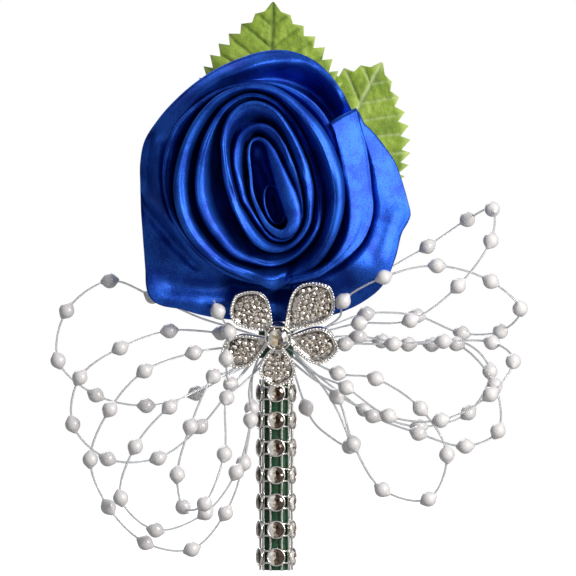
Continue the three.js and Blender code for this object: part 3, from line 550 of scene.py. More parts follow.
# Heights of the outer petals in millimetres: at each angle, ten steps from their inner fold to their rim.
PETAL_HEIGHTS = (
    (44, (6.4, 5.6, 5.0, 4.7, 4.8, 5.4, 6.6, 8.2, 9.3, 9.4)),
    (52, (6.6, 5.6, 5.0, 4.9, 5.6, 7.2, 9.4, 11.6, 12.8, 12.6)),
    (62, (7.0, 5.9, 5.3, 5.4, 6.4, 8.0, 9.8, 11.4, 12.4, 12.6)),
    (74, (8.0, 6.9, 6.4, 6.9, 8.2, 9.9, 11.5, 12.5, 12.9, 12.5)),
    (88, (10.0, 9.0, 9.0, 10.0, 11.6, 13.0, 13.8, 13.9, 13.4, 12.4)),
    (102, (12.2, 12.4, 13.2, 14.2, 15.0, 15.4, 15.4, 15.1, 14.6, 13.9)),
    (118, (12.6, 13.0, 13.6, 14.2, 14.6, 14.7, 14.5, 14.1, 13.5, 12.8)),
    (135, (12.2, 12.6, 12.9, 13.1, 13.1, 13.0, 12.7, 12.3, 11.8, 11.2)),
    (152, (11.8, 12.0, 12.0, 11.9, 11.7, 11.4, 11.0, 10.6, 10.1, 9.6)),
    (170, (11.8, 12.0, 11.9, 11.7, 11.3, 10.9, 10.4, 9.8, 9.2, 8.6)),
    (190, (12.0, 12.3, 12.1, 11.7, 11.2, 10.6, 9.9, 9.2, 8.5, 7.8)),
    (206, (12.2, 12.5, 12.1, 11.5, 10.9, 10.3, 9.7, 9.2, 8.8, 8.4)),
    (222, (12.2, 12.6, 11.9, 11.1, 10.4, 9.8, 9.4, 9.3, 9.5, 9.4)),
    (236, (10.6, 10.0, 9.4, 8.9, 8.6, 8.6, 8.7, 8.6, 8.2, 7.4)),
    (252, (6.6, 5.8, 5.7, 6.0, 6.5, 6.9, 7.0, 6.8, 6.3, 5.6)),
    (268, (5.6, 4.8, 4.9, 5.6, 6.4, 6.9, 6.9, 6.5, 6.0, 5.4)),
    (284, (5.4, 4.8, 4.8, 5.2, 5.6, 5.8, 5.7, 5.3, 4.9, 4.5)),
)
# Creases pressed into the cloth, and ridges where the depth is negative: the places along each as X and
# Z, its width and its depth, all in millimetres.
CREASES = (
    (((-19.6, -17.9), (-14.7, -18.8), (-7.9, -18.4)), 1.7, 0.9),
    (((-24.8, -20.4), (-19.0, -21.6), (-15.6, -22.6)), 1.7, -0.5),
    (((-16.6, 14.9), (-19.1, 12.2), (-20.1, 9.8)), 0.9, -0.5),
    (((-26.4, -1.4), (-24.9, -3.4), (-23.0, -5.8), (-19.6, -10.2), (-15.2, -14.2)), 1.4, 2.6),
    (((-22.6, 9.0), (-23.2, 3.0), (-22.4, -2.6), (-20.9, -6.2)), 1.1, -1.2),
    (((-23.9, 10.4), (-24.8, 4.0), (-24.6, 0.0)), 0.9, 1.3),
    (((-9.6, 22.0), (-3.0, 23.6), (3.0, 24.0)), 1.2, -0.5),
    (((-1.9, -16.2), (-1.6, -18.6)), 1.9, -1.0),
    (((-9.6, -13.8), (-4.6, -17.0)), 0.9, 0.4),
    (((3.4, -14.2), (1.5, -17.0), (1.1, -18.8)), 0.6, 1.4),
    (((14.6, -20.6), (12.2, -15.6)), 1.5, 0.6),
    (((23.4, -5.0), (21.0, -13.0)), 1.8, -0.5),
    (((-7.4, 11.6), (-4.6, 13.4), (-1.6, 13.0)), 0.5, -0.5),
)
# The bud's rim as X, Z and the radius of its roll, all in millimetres, turning up and to the left.
BUD_LINE = (
    (3.2, -4.1, 1.7), (2.4, -1.4, 1.7), (1.3, 1.3, 1.5), (0.2, 4.2, 1.2), (-0.9, 7.1, 0.85), (-2.0, 9.0, 0.5),
    (-3.5, 9.7, 0.35), (-4.8, 8.9, 0.3), (-5.2, 6.2, 0.3), (-4.9, 2.9, 0.3), (-4.6, -0.6, 0.32), (-3.5, -3.7, 0.38),
    (-1.9, -6.6, 0.5), (-0.3, -8.1, 0.7), (1.2, -8.6, 0.95), (2.5, -7.9, 1.3), (3.2, -6.4, 1.6),
)
THIRD_HEIGHT = even(12.6, 12.8, 14.6, 16.8, 17.8, 18.2, 18.2, 18.2, 17.8, 16.8, 16.8, 15.0)
EDGE_HEIGHT = even(12.4, 12.4, 14.0, 15.0, 15.2, 15.2, 15.2, 15.2, 15.0, 14.6, 13.6, 12.6)

PETAL_COLUMNS = tuple(tuple((angle, heights[column]) for angle, heights in PETAL_HEIGHTS) for column in range(10))


def rise(
    inner: float, crest: float, low: float, high: float, steps: int, shoulder: float = 0.3, bow: float = 1.9
) -> Profile:
    """Draw a fold's inner face: a wall from its valley, and a gentle shoulder up to its crest.

    Args:
        inner: Radius of the valley.
        crest: Radius of the crest.
        low: Height of the valley.
        high: Height of the crest.
        steps: Points to draw on each part, without the crest's own.
        shoulder: The shoulder's share of the width.
        bow: How far the wall bows out, 1 for a straight one.

    Returns:
        Pairs of radius and height.
    """
    wide = (crest - inner) * shoulder
    drop = 0.36 * wide
    corner, foot = crest - wide, high - drop
    made = []
    for i in range(steps):
        made.append((inner + (corner - inner) * i / steps, low + (foot - low) * (1 - (1 - i / steps) ** bow)))
    return made + [(corner + wide * i / steps, high - drop * (1 - i / steps) ** 1.5) for i in range(steps)]


def roll(crest: float, high: float, radius: float, foot: float, sweep: float = 115.0) -> Profile:
    """Draw a crest rolled over outwards, and the wall below it.

    Args:
        crest: Radius of the crest.
        high: Height of the crest.
        radius: Radius of the roll.
        foot: Height of the wall's foot.
        sweep: How far it rolls over, in degrees.

    Returns:
        Pairs of radius and height.
    """
    steps = 6
    arc = [math.radians(sweep) * i / steps for i in range(steps + 1)]
    made = [(crest + radius * math.sin(t), high - radius * (1 - math.cos(t))) for t in arc]
    last = made[-1]
    foot = min(foot, last[1] - 0.2)
    return made + [(last[0] - 0.05, last[1] + (foot - last[1]) * 0.5), (last[0], foot)]


@dataclass(frozen=True)
class Loft:
    """How one open or closed piece of cloth runs round the rose, in degrees."""

    start: float
    end: float
    seed: float
    ends: float = 1.0
    lean: float = 0.0

    @property
    def whole(self) -> bool:
        """Tell whether the piece closes on itself."""
        return self.end - self.start >= 360

    def near(self, angle: float) -> float:
        """Return how full the cloth stands, from 0 at an open piece's very end to 1."""
        if self.whole:
            return 1.0
        gap = min(angle - self.start, self.end - angle) / self.ends
        return math.sqrt(max(0.0, 1 - (1 - min(gap, 1.0)) ** 2))

    def lent(self, angle: float) -> float:
        """Return how many degrees a millimetre outwards leans, near the last end alone."""
        return 0.0 if self.whole else self.lean * max(0.0, 1 - (self.end - angle) / 18)


@dataclass
class SatinRose:
    """A rose folded from wide satin ribbon: a rolled bud, turns round it and broad outer petals."""

    middle_x_mm: float = -0.8
    middle_z_mm: float = 0.6
    base_y_mm: float = -10.4
    bud_height_mm: float = 17.6
    bud_floor_mm: float = 9.0
    first_height_mm: float = 17.4
    second_height_mm: float = 18.8
    fourth_height_mm: float = 18.4
    panel_height_mm: float = 14.4
    right_height_mm: float = 8.0
    back_reach_mm: float = 26.5
    back_lift_mm: float = 3.0
    least_mm: float = 0.6
    pinch_angle: float = 272.0
    pinch_spread: float = 30.0
    pinch_share: float = 0.3
    heart_spread: float = 7.0
    step_angle: float = 1.8
    wave_mm: float = 0.34
    crease_mm: float = 0.1
    slope: float = 0.41
    light_angle: float = 19.0
    bud_steps: int = 160
    coil_steps: int = 90
    coil_lean: float = 14.0
    coil_roll_mm: float = 0.24

    def spot(self, angle: float, radius: float, height: float) -> Vec3:
        """Turn a place on the rose into a point in metres.

        Args:
            angle: Degrees from the right, turning up and to the left.
            radius: Millimetres from the rose's middle.
            height: Millimetres in front of its base.

        Returns:
            The point.
        """
        turn = math.radians(angle)
        x = self.middle_x_mm + radius * math.cos(turn)
        z = self.middle_z_mm + radius * math.sin(turn)
        return (x * MM, (self.base_y_mm - height) * MM, z * MM)

    def drawn(self, angle: float) -> float:
        """Return how far the folds sink where they are drawn together, 1 where they don't."""
        away = (angle - self.pinch_angle + 540) % 360 - 180
        return 1 - self.pinch_share * math.exp(-((away / self.pinch_spread) ** 2))

    def back(self, radius: float) -> float:
        """Return the height of the rose's back at a radius, both in millimetres."""
        return self.back_lift_mm * max(0.0, (radius / self.back_reach_mm - 0.35) / 0.65) ** 2

    def ruffle(self, angle: float, place: float, seed: float) -> float:
        """Draw the cloth's own unevenness, long along the folds and short across them.

        Args:
            angle: Degrees round the rose.
            place: How far along the section, in points.
            seed: A number that differs between pieces.

        Returns:
            How far the cloth stands forward, in millimetres.
        """
        turn = math.radians(angle)
        broad = noise.noise(Vector((place * 0.11, 1.3 * math.cos(turn) + seed, 1.3 * math.sin(turn))))
        fine = noise.noise(Vector((place * 0.42, 1.9 * math.cos(turn), 1.9 * math.sin(turn) + seed)))
        return self.wave_mm * broad + self.crease_mm * fine

    def pressed(self, spot: Vec3) -> float:
        """Press the creases into the cloth.

        Args:
            spot: A point in metres.

        Returns:
            How deep they press it there, in millimetres.
        """
        place = Vector((spot[0] / MM, spot[2] / MM))
        depth = 0.0
        for line, width, most in CREASES:
            gaps = []
            for a, b in zip(line, line[1:]):
                start, run = Vector(a), Vector(b) - Vector(a)
                share = min(1.0, max(0.0, (place - start).dot(run) / run.length_squared))
                gaps.append((place - start - run * share).length)
            depth += most * math.exp(-((min(gaps) / width) ** 2))
        return depth

    def lit(self, angle: float) -> float:
        """Return how far outwards at an angle is the way the light comes from, 1 to -1."""
        return math.cos(math.radians(angle - self.light_angle))

    def sides(self, angle: float) -> tuple[float, float]:
        """Return how far an angle looks to the light, and how far away from it, each 0 to 1."""
        return max(0.0, self.lit(angle)), max(0.0, -self.lit(angle))

    def row(self, front: Profile, angle: float, plan: Loft) -> list[Vec3]:
        """Place one section on the rose, unevenness, creases and back and all.

        Args:
            front: The front's profile.
            angle: Where it stands.
            plan: The piece's run.

        Returns:
            The ring of points, front first.
        """
        hem, flattest = 4, 0.35
        last = len(front) - 1
        lent = plan.lent(angle)
        places = []
        for i, (radius, height) in enumerate(front):
            calm = min(1.0, i / hem, (last - i) / hem)
            floor = self.back(radius) + self.least_mm
            turned = angle + lent * (radius - front[0][0])
            uneven = self.ruffle(angle, i, plan.seed) - self.pressed(self.spot(turned, radius, height))
            above = max(0.0, height + calm * uneven - floor)
            places.append((turned, radius, floor + above * (flattest + 0.65 * plan.near(angle))))
        outer, inner = places[-1], places[0]
        for s in range(5):
            turned, radius = (outer[n] + (inner[n] - outer[n]) * s / 4 for n in (0, 1))
            places.append((turned, radius, self.back(radius)))
        return [self.spot(*place) for place in places]

    def loft(self, name: str, section: Callable[[float], Profile], plan: Loft) -> Object:
        """Loft sections round the rose into one closed skin.

        Args:
            name: The object's name.
            section: Gives the front's profile at an angle.
            plan: The piece's run.

        Returns:
            The object.
        """
        count = round((plan.end - plan.start) / self.step_angle)
        angles = [plan.start + (plan.end - plan.start) * k / count for k in range(count if plan.whole else count + 1)]
        rows = [self.row(section(angle), angle, plan) for angle in angles]
        shell = Shell()
        shell.grid(rows, round_rows=plan.whole, round_columns=True)
        if not plan.whole:
            shell.cap(0, len(rows[0]), False)
            shell.cap(-len(rows[0]), len(rows[0]), True)
        return shell.build(name)

    def bud_profile(self, wide: float, thick: float, high: float) -> Profile:
        """Draw a section of the bud: its opening's floor and wall, its rolled rim and its back.

        Args:
            wide: From the opening's spine to the rim.
            thick: Radius of the rim's roll.
            high: Height of the rim.

        Returns:
            Pairs of distance from the spine and height.
        """
        inner, floor = wide - thick, self.bud_floor_mm
        front = [(0.02, floor), (inner * 0.45, floor + 0.1), (inner * 0.78, floor + 0.6)]
        front += [(inner * 0.92, 11.2), (inner * 0.97, 13.4), (inner * 0.99, 15.2)]
        for i in range(12):
            turn = math.radians(-80 + 190 * i / 11)
            sink = (0.55 if turn > 0 else 0.5) * thick * (1 - math.cos(turn))
            front.append((wide + thick * math.sin(turn), high - sink))
        last = front[-1]
        front += [(last[0] - 0.05, last[1] - 1.4), (last[0] - 0.1, 11.0)]
        return front + [(last[0] + (0.02 - last[0]) * s / 4, 0.0) for s in range(5)]

    def bud(self) -> Object:
        """Build the bud: a long dark opening and its rim, rolled over thickly at the right.

        Returns:
            The object.
        """
        top, run = Vector((-3.5, 5.4)), Vector((5.0, -10.4))
        tables = [even(*(row[column] for row in BUD_LINE)) for column in range(3)]
        rows = []
        for k in range(self.bud_steps):
            angle = 360 * k / self.bud_steps
            x, z, thick = (at(table, angle) for table in tables)
            rim = Vector((x, z))
            spine = top + run * min(1.0, max(0.0, (rim - top).dot(run) / run.length_squared))
            wide = (rim - spine).length
            way = (rim - spine) / wide
            row = []
            for i, (away, height) in enumerate(self.bud_profile(wide, thick, self.bud_height_mm + 0.08 * (x - z))):
                place = spine + way * away
                lift = self.ruffle(angle, i, 3.1) if 1 < i < 19 else 0.0
                row.append((place.x * MM, (self.base_y_mm - height - lift * 0.6) * MM, place.y * MM))
            rows.append(row)
        shell = Shell()
        shell.grid(rows, round_rows=True, round_columns=True)
        return shell.build("satin_bud")

    def coil(self) -> Object:
        """Roll the narrow inner coil that stands in the bud's opening.

        Returns:
            The object.
        """
        rows = []
        lean = math.radians(self.coil_lean)
        for k in range(self.coil_steps):
            turn = math.radians(4.0 * k)
            high = 13.7 - 1.3 * math.cos(turn)
            profile = [(-1.85, 9.6), (-1.2, 9.7), (-0.5, 10.4), (-0.26, 12.4)]
            for t in [math.radians(a) for a in range(-90, 91, 30)]:
                profile.append((self.coil_roll_mm * math.sin(t), high + self.coil_roll_mm * math.cos(t)))
            profile += [(0.27, 12.0), (0.2, 9.4), (-1.85, 9.3)]
            row = []
            for out, height in profile:
                across, along = (1.9 + out) * math.cos(turn), (3.8 + out) * math.sin(turn)
                x = -0.25 + across * math.cos(lean) - along * math.sin(lean)
                z = -2.9 + across * math.sin(lean) + along * math.cos(lean)
                row.append((x * MM, (self.base_y_mm - height) * MM, z * MM))
            rows.append(row)
        shell = Shell()
        shell.grid(rows, round_rows=True, round_columns=True)
        return shell.build("satin_coil")

    def inner_section(self, angle: float) -> Profile:
        """Draw the first two turns round the bud.

        Args:
            angle: Degrees round the rose.

        Returns:
            Pairs of radius and height.
        """
        out, back = self.sides(angle)
        start = at(BUD_RIM, angle) + 0.8
        first = max(at(FIRST_FOLD, angle) - 0.2 * out + 0.2 * back, start + 0.5)
        second = max(at(SECOND_FOLD, angle) - 0.3 * out + 0.4 * back, first + 1.1)
        made = rise(start, first, 12.4, self.first_height_mm, 5, 0.2 + 0.25 * back)
        made += roll(first, self.first_height_mm, 0.35 + 0.35 * out, 14.0)
        made += rise(first + 0.4, second, 12.4, self.second_height_mm, 6, 0.15 + 0.35 * back)
        return made + roll(second, self.second_height_mm, 0.5 + 0.6 * out, 9.5)

    def outer_section(self, angle: float) -> Profile:
        """Draw the two wide turns and the fold at their edge.

        Args:
            angle: Degrees round the rose.

        Returns:
            Pairs of radius and height.
        """
        pull = self.drawn(angle)
        heart = math.exp(-(((angle - self.pinch_angle) / self.heart_spread) ** 2))
        out, back = self.sides(angle)
        start = at(SECOND_FOLD, angle) + 0.45
        third = max(at(THIRD_FOLD, angle) - 0.3 * out + 0.5 * back, start + 0.6)
        fourth = max(at(FOURTH_FOLD, angle) - 0.8 * out + 0.6 * back, third + 1.0)
        edge = max(at(EDGE_FOLD, angle) + 0.3 * back, fourth + 0.7) - 0.5
        high = at(THIRD_HEIGHT, angle) * (0.35 + 0.65 * pull)
        top = self.fourth_height_mm * pull
        rim = at(EDGE_HEIGHT, angle) * pull
        made = rise(start, third, 10.0, high, 6, 0.1 + 0.12 * back, 1.9 - 0.95 * back)
        made += roll(third, high, 0.5 + 0.5 * out, 10.0 * pull)
        made += rise(third + 0.6, fourth, 9.8 * pull, top, 7, 0.12 + 0.24 * back)
        made += roll(fourth, top, 0.7 + 1.3 * out + 1.1 * heart, 9.4 * pull)
        made += rise(fourth + 0.8, edge, 9.2 * pull, rim, 6, 0.15 + 0.35 * back)
        return made + roll(edge, rim, 0.6, 7.6 * pull)

    def petal_section(self, angle: float) -> Profile:
        """Draw the top and left petals, one cloth: hollow behind its rim at the top, one broad slope at the left.

        Args:
            angle: Degrees round the rose.

        Returns:
            Pairs of radius and height.
        """
        steps, last = 20, len(PETAL_COLUMNS) - 1
        start = at(EDGE_FOLD, angle) - 0.2
        end = max(at(OUTLINE, angle), start + 1.6) - 0.55
        heights = tuple((float(i), at(column, angle, closed=False)) for i, column in enumerate(PETAL_COLUMNS))
        made = []
        for i in range(steps + 1):
            made.append((start + (end - start) * i / steps, at(heights, last * i / steps, closed=False)))
        return made + roll(end, made[-1][1], 0.45, made[-1][1] - 2.6, 135.0)[1:]

    def panel_section(self, angle: float) -> Profile:
        """Draw the flat panel at the right, from its inner crest down to its outer edge.

        Args:
            angle: Degrees round the rose.

        Returns:
            Pairs of radius and height.
        """
        steps, hem = 10, 0.5
        pull = 0.25 + 0.75 * self.drawn(angle)
        inner = at(EDGE_FOLD, angle) + 0.3 - 0.9 * min(1.0, max(0.0, (40 - angle) / 30))
        outer = max(at(PANEL_EDGE, angle, closed=False), inner + 0.9)
        wide = outer - hem - inner
        flat = []
        for i in range(steps + 1):
            radius = inner + wide * i / steps
            flat.append((radius, (self.panel_height_mm - self.slope * (radius * self.lit(angle) - 14.5)) * pull))
        made = rise(inner - 1.1, inner, 8.0 * pull, flat[0][1], 4, 0.2)
        return made + flat + roll(outer - hem, flat[-1][1], 0.5, 4.4 * pull)[1:]

    def right_section(self, angle: float) -> Profile:
        """Draw the right petal, which comes out from under the panel and falls away to the right.

        Args:
            angle: Degrees round the rose.

        Returns:
            Pairs of radius and height.
        """
        steps, hem, foot = 14, 0.6, 4.4
        pull = 0.2 + 0.8 * self.drawn(angle)
        start = at(PANEL_EDGE, angle, closed=False) - 0.6
        end = max(at(OUTLINE, angle), start + 1.6)
        wide = end - hem - start
        made = []
        for i in range(steps + 1):
            share = i / steps
            radius = start + wide * share
            risen = min(1.0, share / 0.25)
            plane = self.right_height_mm - self.slope * (radius * self.lit(angle) - 19.8)
            below = self.right_height_mm + 3.6 + 1.05 * (radius * math.sin(math.radians(angle)) + 16.5)
            least = min(plane, below) - 0.8 * math.exp(-abs(plane - below) / 1.6)
            made.append((radius, (foot + (least - foot) * risen * (2 - risen)) * (0.5 + 0.5 * pull)))
        return made + roll(end - hem, made[-1][1], 0.5, made[-1][1] - 2.0, 140.0)[1:]

    def build(self, satin: Material) -> None:
        """Args:
            satin: The ribbon's material.
        """
        bud, coil = self.bud(), self.coil()
        inner = self.loft("satin_inner_turns", self.inner_section, Loft(0, 360, 7.3))
        outer = self.loft("satin_outer_turns", self.outer_section, Loft(0, 360, 14.6))
        petals = self.loft("satin_petals", self.petal_section, Loft(44, 284, 21.9, 3))
        panel = self.loft("satin_panel", self.panel_section, Loft(-80, 49.3, 29.2, 1.5, -0.92))
        right = self.loft("satin_petal_right", self.right_section, Loft(-80, 41, 36.5, 3))
        turn, pad = ("satin_outer_turns",), ("backing_pad",)
        pieces = (
            (bud, ("rose_bud",), (50, 17), ("satin_inner_turns",)),
            (coil, (), (12, 10), ("satin_bud",)),
            (inner, ("rose_inner_turns",), (50, 35), turn),
            (outer, ("rose_outer_turns",), (50, 73), pad),
            (petals, ("rose_petal_top", "rose_petal_left"), (50, 34), turn + pad),
            (panel, ("rose_petal_top",), (30, 28), turn),
            (right, ("rose_petal_right",), (35, 19), turn + pad),
        )
        for obj, nodes, cut_mm, under in pieces:
            dress(obj, "satin", satin)
            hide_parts(*nodes)
            area = sum(face.area for face in obj.data.polygons) / 2
            log.info("%s: %d points, %.0f mm2 of ribbon", obj.name, len(obj.data.vertices), area / MM**2)


@dataclass(frozen=True)
class LeafCloth:
    """Starched polyester leaf cloth, printed yellow green and hot pressed: matt, with a thread grain and veins."""

    name: str
    vein: str
    green: str = "#86a431"
    shade: str = "#6f8d2b"
    light: str = "#9db84b"
    edge: str = "#a9bc68"
    fuzz: str = "#dff0b0"
    roughness: float = 0.72
    ior: float = 1.5
    blotch_mm: float = 4.5
    thread_mm: float = 0.4
    thread_high_mm: float = 0.08

    def make(self) -> Material:
        """Build the material.

        Returns:
            The material. Its 0.15 mm threads are drawn at 0.4 mm, or they wouldn't show.
        """
        material, tree, place = new_material(self.name)
        blotch = add_node(tree, "TexNoise", grain(place, self.blotch_mm, 3.0))
        colour = ramp(tree, blotch.outputs["Fac"], [(0.32, self.shade), (0.5, self.green), (0.7, self.light)])
        thread = add_node(tree, "TexVoronoi", grain(place, self.thread_mm, 0.0)).outputs["Distance"]
        weave = add_node(tree, "MapRange", {"Value": thread, "To Min": 0.88, "To Max": 1.08}).outputs["Result"]
        colour = add_node(tree, "MixRGB", {"Fac": 1.0, 1: colour, 2: weave}, blend_type="MULTIPLY").outputs[0]
        for mark, tint in (("vein", self.vein), ("margin", self.edge)):
            share = add_node(tree, "Attribute", attribute_name=mark).outputs["Fac"]
            colour = add_node(tree, "MixRGB", {"Fac": share, 1: colour, 2: linear(tint)}).outputs[0]
        return surface(material, {
            "Base Color": colour,
            "Roughness": self.roughness,
            "IOR": self.ior,
            "Sheen Weight": 0.2,
            "Sheen Tint": linear(self.fuzz),
        }, (thread, 0.5, self.thread_high_mm))


@dataclass
class ClothLeaf:
    """One saw-edged cloth leaf with a pressed midrib and side veins."""

    name: str
    node: str
    tip_x_mm: float
    tip_z_mm: float
    lean: float
    back_mm: float
    seed: float
    length_mm: float = 38.0
    width_mm: float = 27.0
    thickness_mm: float = 0.5
    fullness: float = 0.95
    tooth_mm: float = 1.3
    teeth: int = 15
    tooth_lean: float = 1.12
    first_tooth: float = 0.035
    last_tooth: float = 0.93
    full_tooth: float = 0.2
    full_saw: float = 0.28
    vein_pitch_mm: float = 4.3
    vein_half_mm: float = 0.28
    midrib_half_mm: float = 0.42
    free_mm: float = 22.0
    point_mm: float = 0.7
    ink: float = 0.75
    steps: int = 9
    columns: int = 72

    def __post_init__(self) -> None:
        """Start the leaf's mesh."""
        self.shell = Shell()

    @property
    def saw_pitch(self) -> float:
        """Return a tooth's length as a share of the leaf's."""
        return (self.last_tooth - self.first_tooth) / self.teeth

    def shares(self) -> list[float]:
        """Return where the rows of points lie, as shares of the leaf's length from the tip."""
        saw = []
        for tooth in range(self.teeth):
            saw += [self.first_tooth + self.saw_pitch * (tooth + (i + 1) / self.steps) for i in range(self.steps)]
        return [0.004, self.first_tooth, *saw, 0.95, 0.97, 0.985, 0.996]

    def half(self, share: float) -> float:
        """Return half the leaf's width at a share of its length from the tip, in millimetres."""
        return self.width_mm / 2 * math.sin(math.pi * min(max(share, 0.0), 1.0)) ** self.fullness

    def tooth(self, share: float) -> float:
        """Return how deep the teeth are cut at a share of the leaf's length, in millimetres."""
        return self.tooth_mm * min(1.0, share / self.full_tooth)

    def relief(self, across: float, along: float) -> tuple[float, float]:
        """Press the veins into the cloth.

        Args:
            across: Millimetres from the midrib.
            along: Millimetres from the tip.

        Returns:
            How far the cloth stands forward in millimetres, and how much of a vein is there.
        """
        side = along + 0.85 * abs(across) - 0.012 * across**2
        phase = side / self.vein_pitch_mm
        gap = abs(phase - round(phase)) * self.vein_pitch_mm
        vein = math.exp(-((gap / self.vein_half_mm) ** 2)) * 0.85
        groove = max(vein, math.exp(-((across / self.midrib_half_mm) ** 2)))
        quilt = 0.24 * math.sin(math.pi * (phase % 1)) ** 0.8
        crinkle = 0.16 * noise.noise(Vector((across / 1.1, along / 1.1, self.seed)))
        fine = 0.05 * noise.noise(Vector((across / 0.45, along / 0.45, self.seed + 5)))
        return quilt + crinkle + fine - 0.3 * groove, groove

    def spot(self, across: float, along: float, front: bool) -> Vec3:
        """Turn a place on the leaf into a point in metres.

        Args:
            across: Millimetres from the midrib.
            along: Millimetres from the tip.
            front: Whether it is on the front face.

        Returns:
            The point.
        """
        lift, _ = self.relief(across, along)
        free = max(0.0, 1 - along / self.free_mm)
        bow = 0.9 * free**2 * math.sin(self.seed) - 0.5 * free * (across / 8) ** 2
        depth = self.back_mm + bow + (self.thickness_mm + lift if front else lift * 0.7)
        turn = math.radians(self.lean)
        x = self.tip_x_mm + across * math.cos(turn) - along * math.sin(turn)
        z = self.tip_z_mm - across * math.sin(turn) - along * math.cos(turn)
        return (x * MM, -depth * MM, z * MM)

    def face(self, front: bool) -> list[Vec3]:
        """Add one face of the leaf, without its teeth.

        Args:
            front: Whether it is the front.

        Returns:
            For each point, the millimetres across and along, and 0 for no tooth.
        """
        shares = self.shares()
        rows, flat = [], []
        for share in shares:
            half = max(self.half(share) - self.tooth(share) * 0.35, 0.12)
            along = share * self.length_mm - self.point_mm * (share == shares[0])
            places = [(half * (2 * i / self.columns - 1), along, 0.0) for i in range(self.columns + 1)]
            if not front:
                places.reverse()
            rows.append([self.spot(a, b, front) for a, b, _ in places])
            flat += places
        self.shell.grid(rows)
        return flat

    def saw(self, side: int, number: int) -> list[Vec3]:
        """Add one tooth, a point that both faces and two flanks run out to.

        Args:
            side: Its side of the midrib, -1 or 1.
            number: Its number from the tip.

        Returns:
            For its two points, the millimetres across and along, and 1 for a tooth.
        """
        shares, size = self.shares(), self.columns + 1
        begin = 1 + number * self.steps
        root = shares[begin + self.steps]
        full = min(1.0, root / self.full_saw)
        along = (root - self.saw_pitch * (self.tooth_lean - 0.55 * (1 - full))) * self.length_mm
        wide = self.half(along / self.length_mm + self.saw_pitch * (0.12 + 0.5 * full))
        across = side * (wide + self.tooth(root) * 0.65)
        tip, under = len(self.shell.points), len(self.shell.points) + 1
        self.shell.points += [self.spot(across, along, front) for front in (True, False)]
        column = 0 if side < 0 else self.columns
        edge = [row * size + column for row in range(begin, begin + self.steps + 1)]
        rear = [len(shares) * size + point + self.columns - 2 * column for point in edge]
        for a, b, c, d in zip(edge, edge[1:], rear, rear[1:]):
            self.shell.faces += [(tip, b, a), (under, c, d)] if side > 0 else [(tip, a, b), (under, d, c)]
        for end in (0, -1):
            flank = (tip, edge[end], rear[end], under)
            self.shell.faces.append(flank if (side > 0) == (end == 0) else flank[::-1])
        return [(across, along, 1.0)] * 2

    def build(self, cloth: Material) -> None:
        """Args:
            cloth: Its material.
        """
        flat = self.face(True) + self.face(False)
        for side in (-1, 1):
            for number in range(self.teeth):
                flat += self.saw(side, number)
        obj = self.shell.build(self.name)
        veins = obj.data.attributes.new("vein", "FLOAT", "POINT")
        margin = obj.data.attributes.new("margin", "FLOAT", "POINT")
        veins.data.foreach_set("value", [self.ink * self.relief(a, b)[1] for a, b, _ in flat])
        margin.data.foreach_set("value", [self.ink * tooth for _, _, tooth in flat])
        dress(obj, "leaf_cloth", cloth, self.node)


@dataclass(frozen=True)
class SilverPlate:
    """Rhodium-toned silver plate on cast zinc or brass cup chain, tumbled bright: a clean mirror, with painted shade in
    its creases.
    """

    colour: str = "#f1efec"
    # Painted shade: the grey that the creases, and a few random patches, darken to.
    crease_shade: str = "#aea69d"
    roughness: float = 0.16
    grain_mm: float = 0.8
    grain_high_mm: float = 0.05

    def make(self) -> Material:
        """Build the material.

        Returns:
            The material.
        """
        material, tree, place = new_material("silver_plate")
        pores = add_node(tree, "TexNoise", grain(place, self.grain_mm, 3.0))
        patch = pores.outputs["Fac"]
        # Painted shade in creases: low pointiness, times random patches, picks the grey.
        crease_mask = add_node(tree, "NewGeometry").outputs["Pointiness"]
        painted_light_and_grain = add_node(tree, "Math", {0: patch, 1: crease_mask}, operation="MULTIPLY").outputs[0]
        rough = add_node(tree, "MapRange", {"Value": patch, "To Min": self.roughness, "To Max": self.roughness + 0.14})
        return surface(material, {
            "Base Color": ramp(tree, painted_light_and_grain, [(0.14, self.crease_shade), (0.26, self.colour)]),
            "Roughness": rough.outputs["Result"],
            "Metallic": 1.0,
        }, (patch, 0.12, self.grain_high_mm))


@dataclass(frozen=True)
class FoiledGlass:
    """Cut lead glass with a foil back, its facets' tones painted reflections: pale, tawny or black, as other parts of
    the room.
    """

    name: str
    tones: tuple[str, ...]
    roughness: float = 0.06
    ior: float = 1.62
    foil: float = 0.36
    cloud_mm: float = 0.5
    cloud_share: float = 0.08
    polish: float = 0.6
    polish_roughness: float = 0.03

    def make(self) -> Material:
        """Build the material, which reads each facet's tone of painted reflection from the mesh.

        Returns:
            The material.
        """
        material, tree, place = new_material(self.name)
        # Painted reflection: the facet's tone, moved a little by a random cloud, picks its colour from the tones.
        tone = add_node(tree, "Attribute", attribute_name="tone").outputs["Fac"]
        stops = [(i / (len(self.tones) - 1), colour) for i, colour in enumerate(self.tones)]
        cloud = add_node(tree, "TexNoise", grain(place, self.cloud_mm, 1.0))
        span = {"Value": cloud.outputs["Fac"], "To Min": -self.cloud_share, "To Max": self.cloud_share}
        shift = add_node(tree, "MapRange", span).outputs["Result"]
        painted_light_and_grain = add_node(tree, "Math", {0: tone, 1: shift}, operation="ADD").outputs[0]
        return surface(material, {
            "Base Color": ramp(tree, painted_light_and_grain, stops),
            "Roughness": self.roughness,
            "IOR": self.ior,
            "Metallic": self.foil,
            "Coat Weight": self.polish,
            "Coat Roughness": self.polish_roughness,
        })


@dataclass(frozen=True)
class StoneCut:
    """The cut of a round stone."""

    sides: int = 8
    depth: float = 0.4
    # split: how clearly the painted reflection makes a stone's left half pale and its right half dark.
    split: float = 0.0
    table: float = 0.52
    star: float = 0.78
    star_high: float = 0.62
    crown_high: float = 1.02


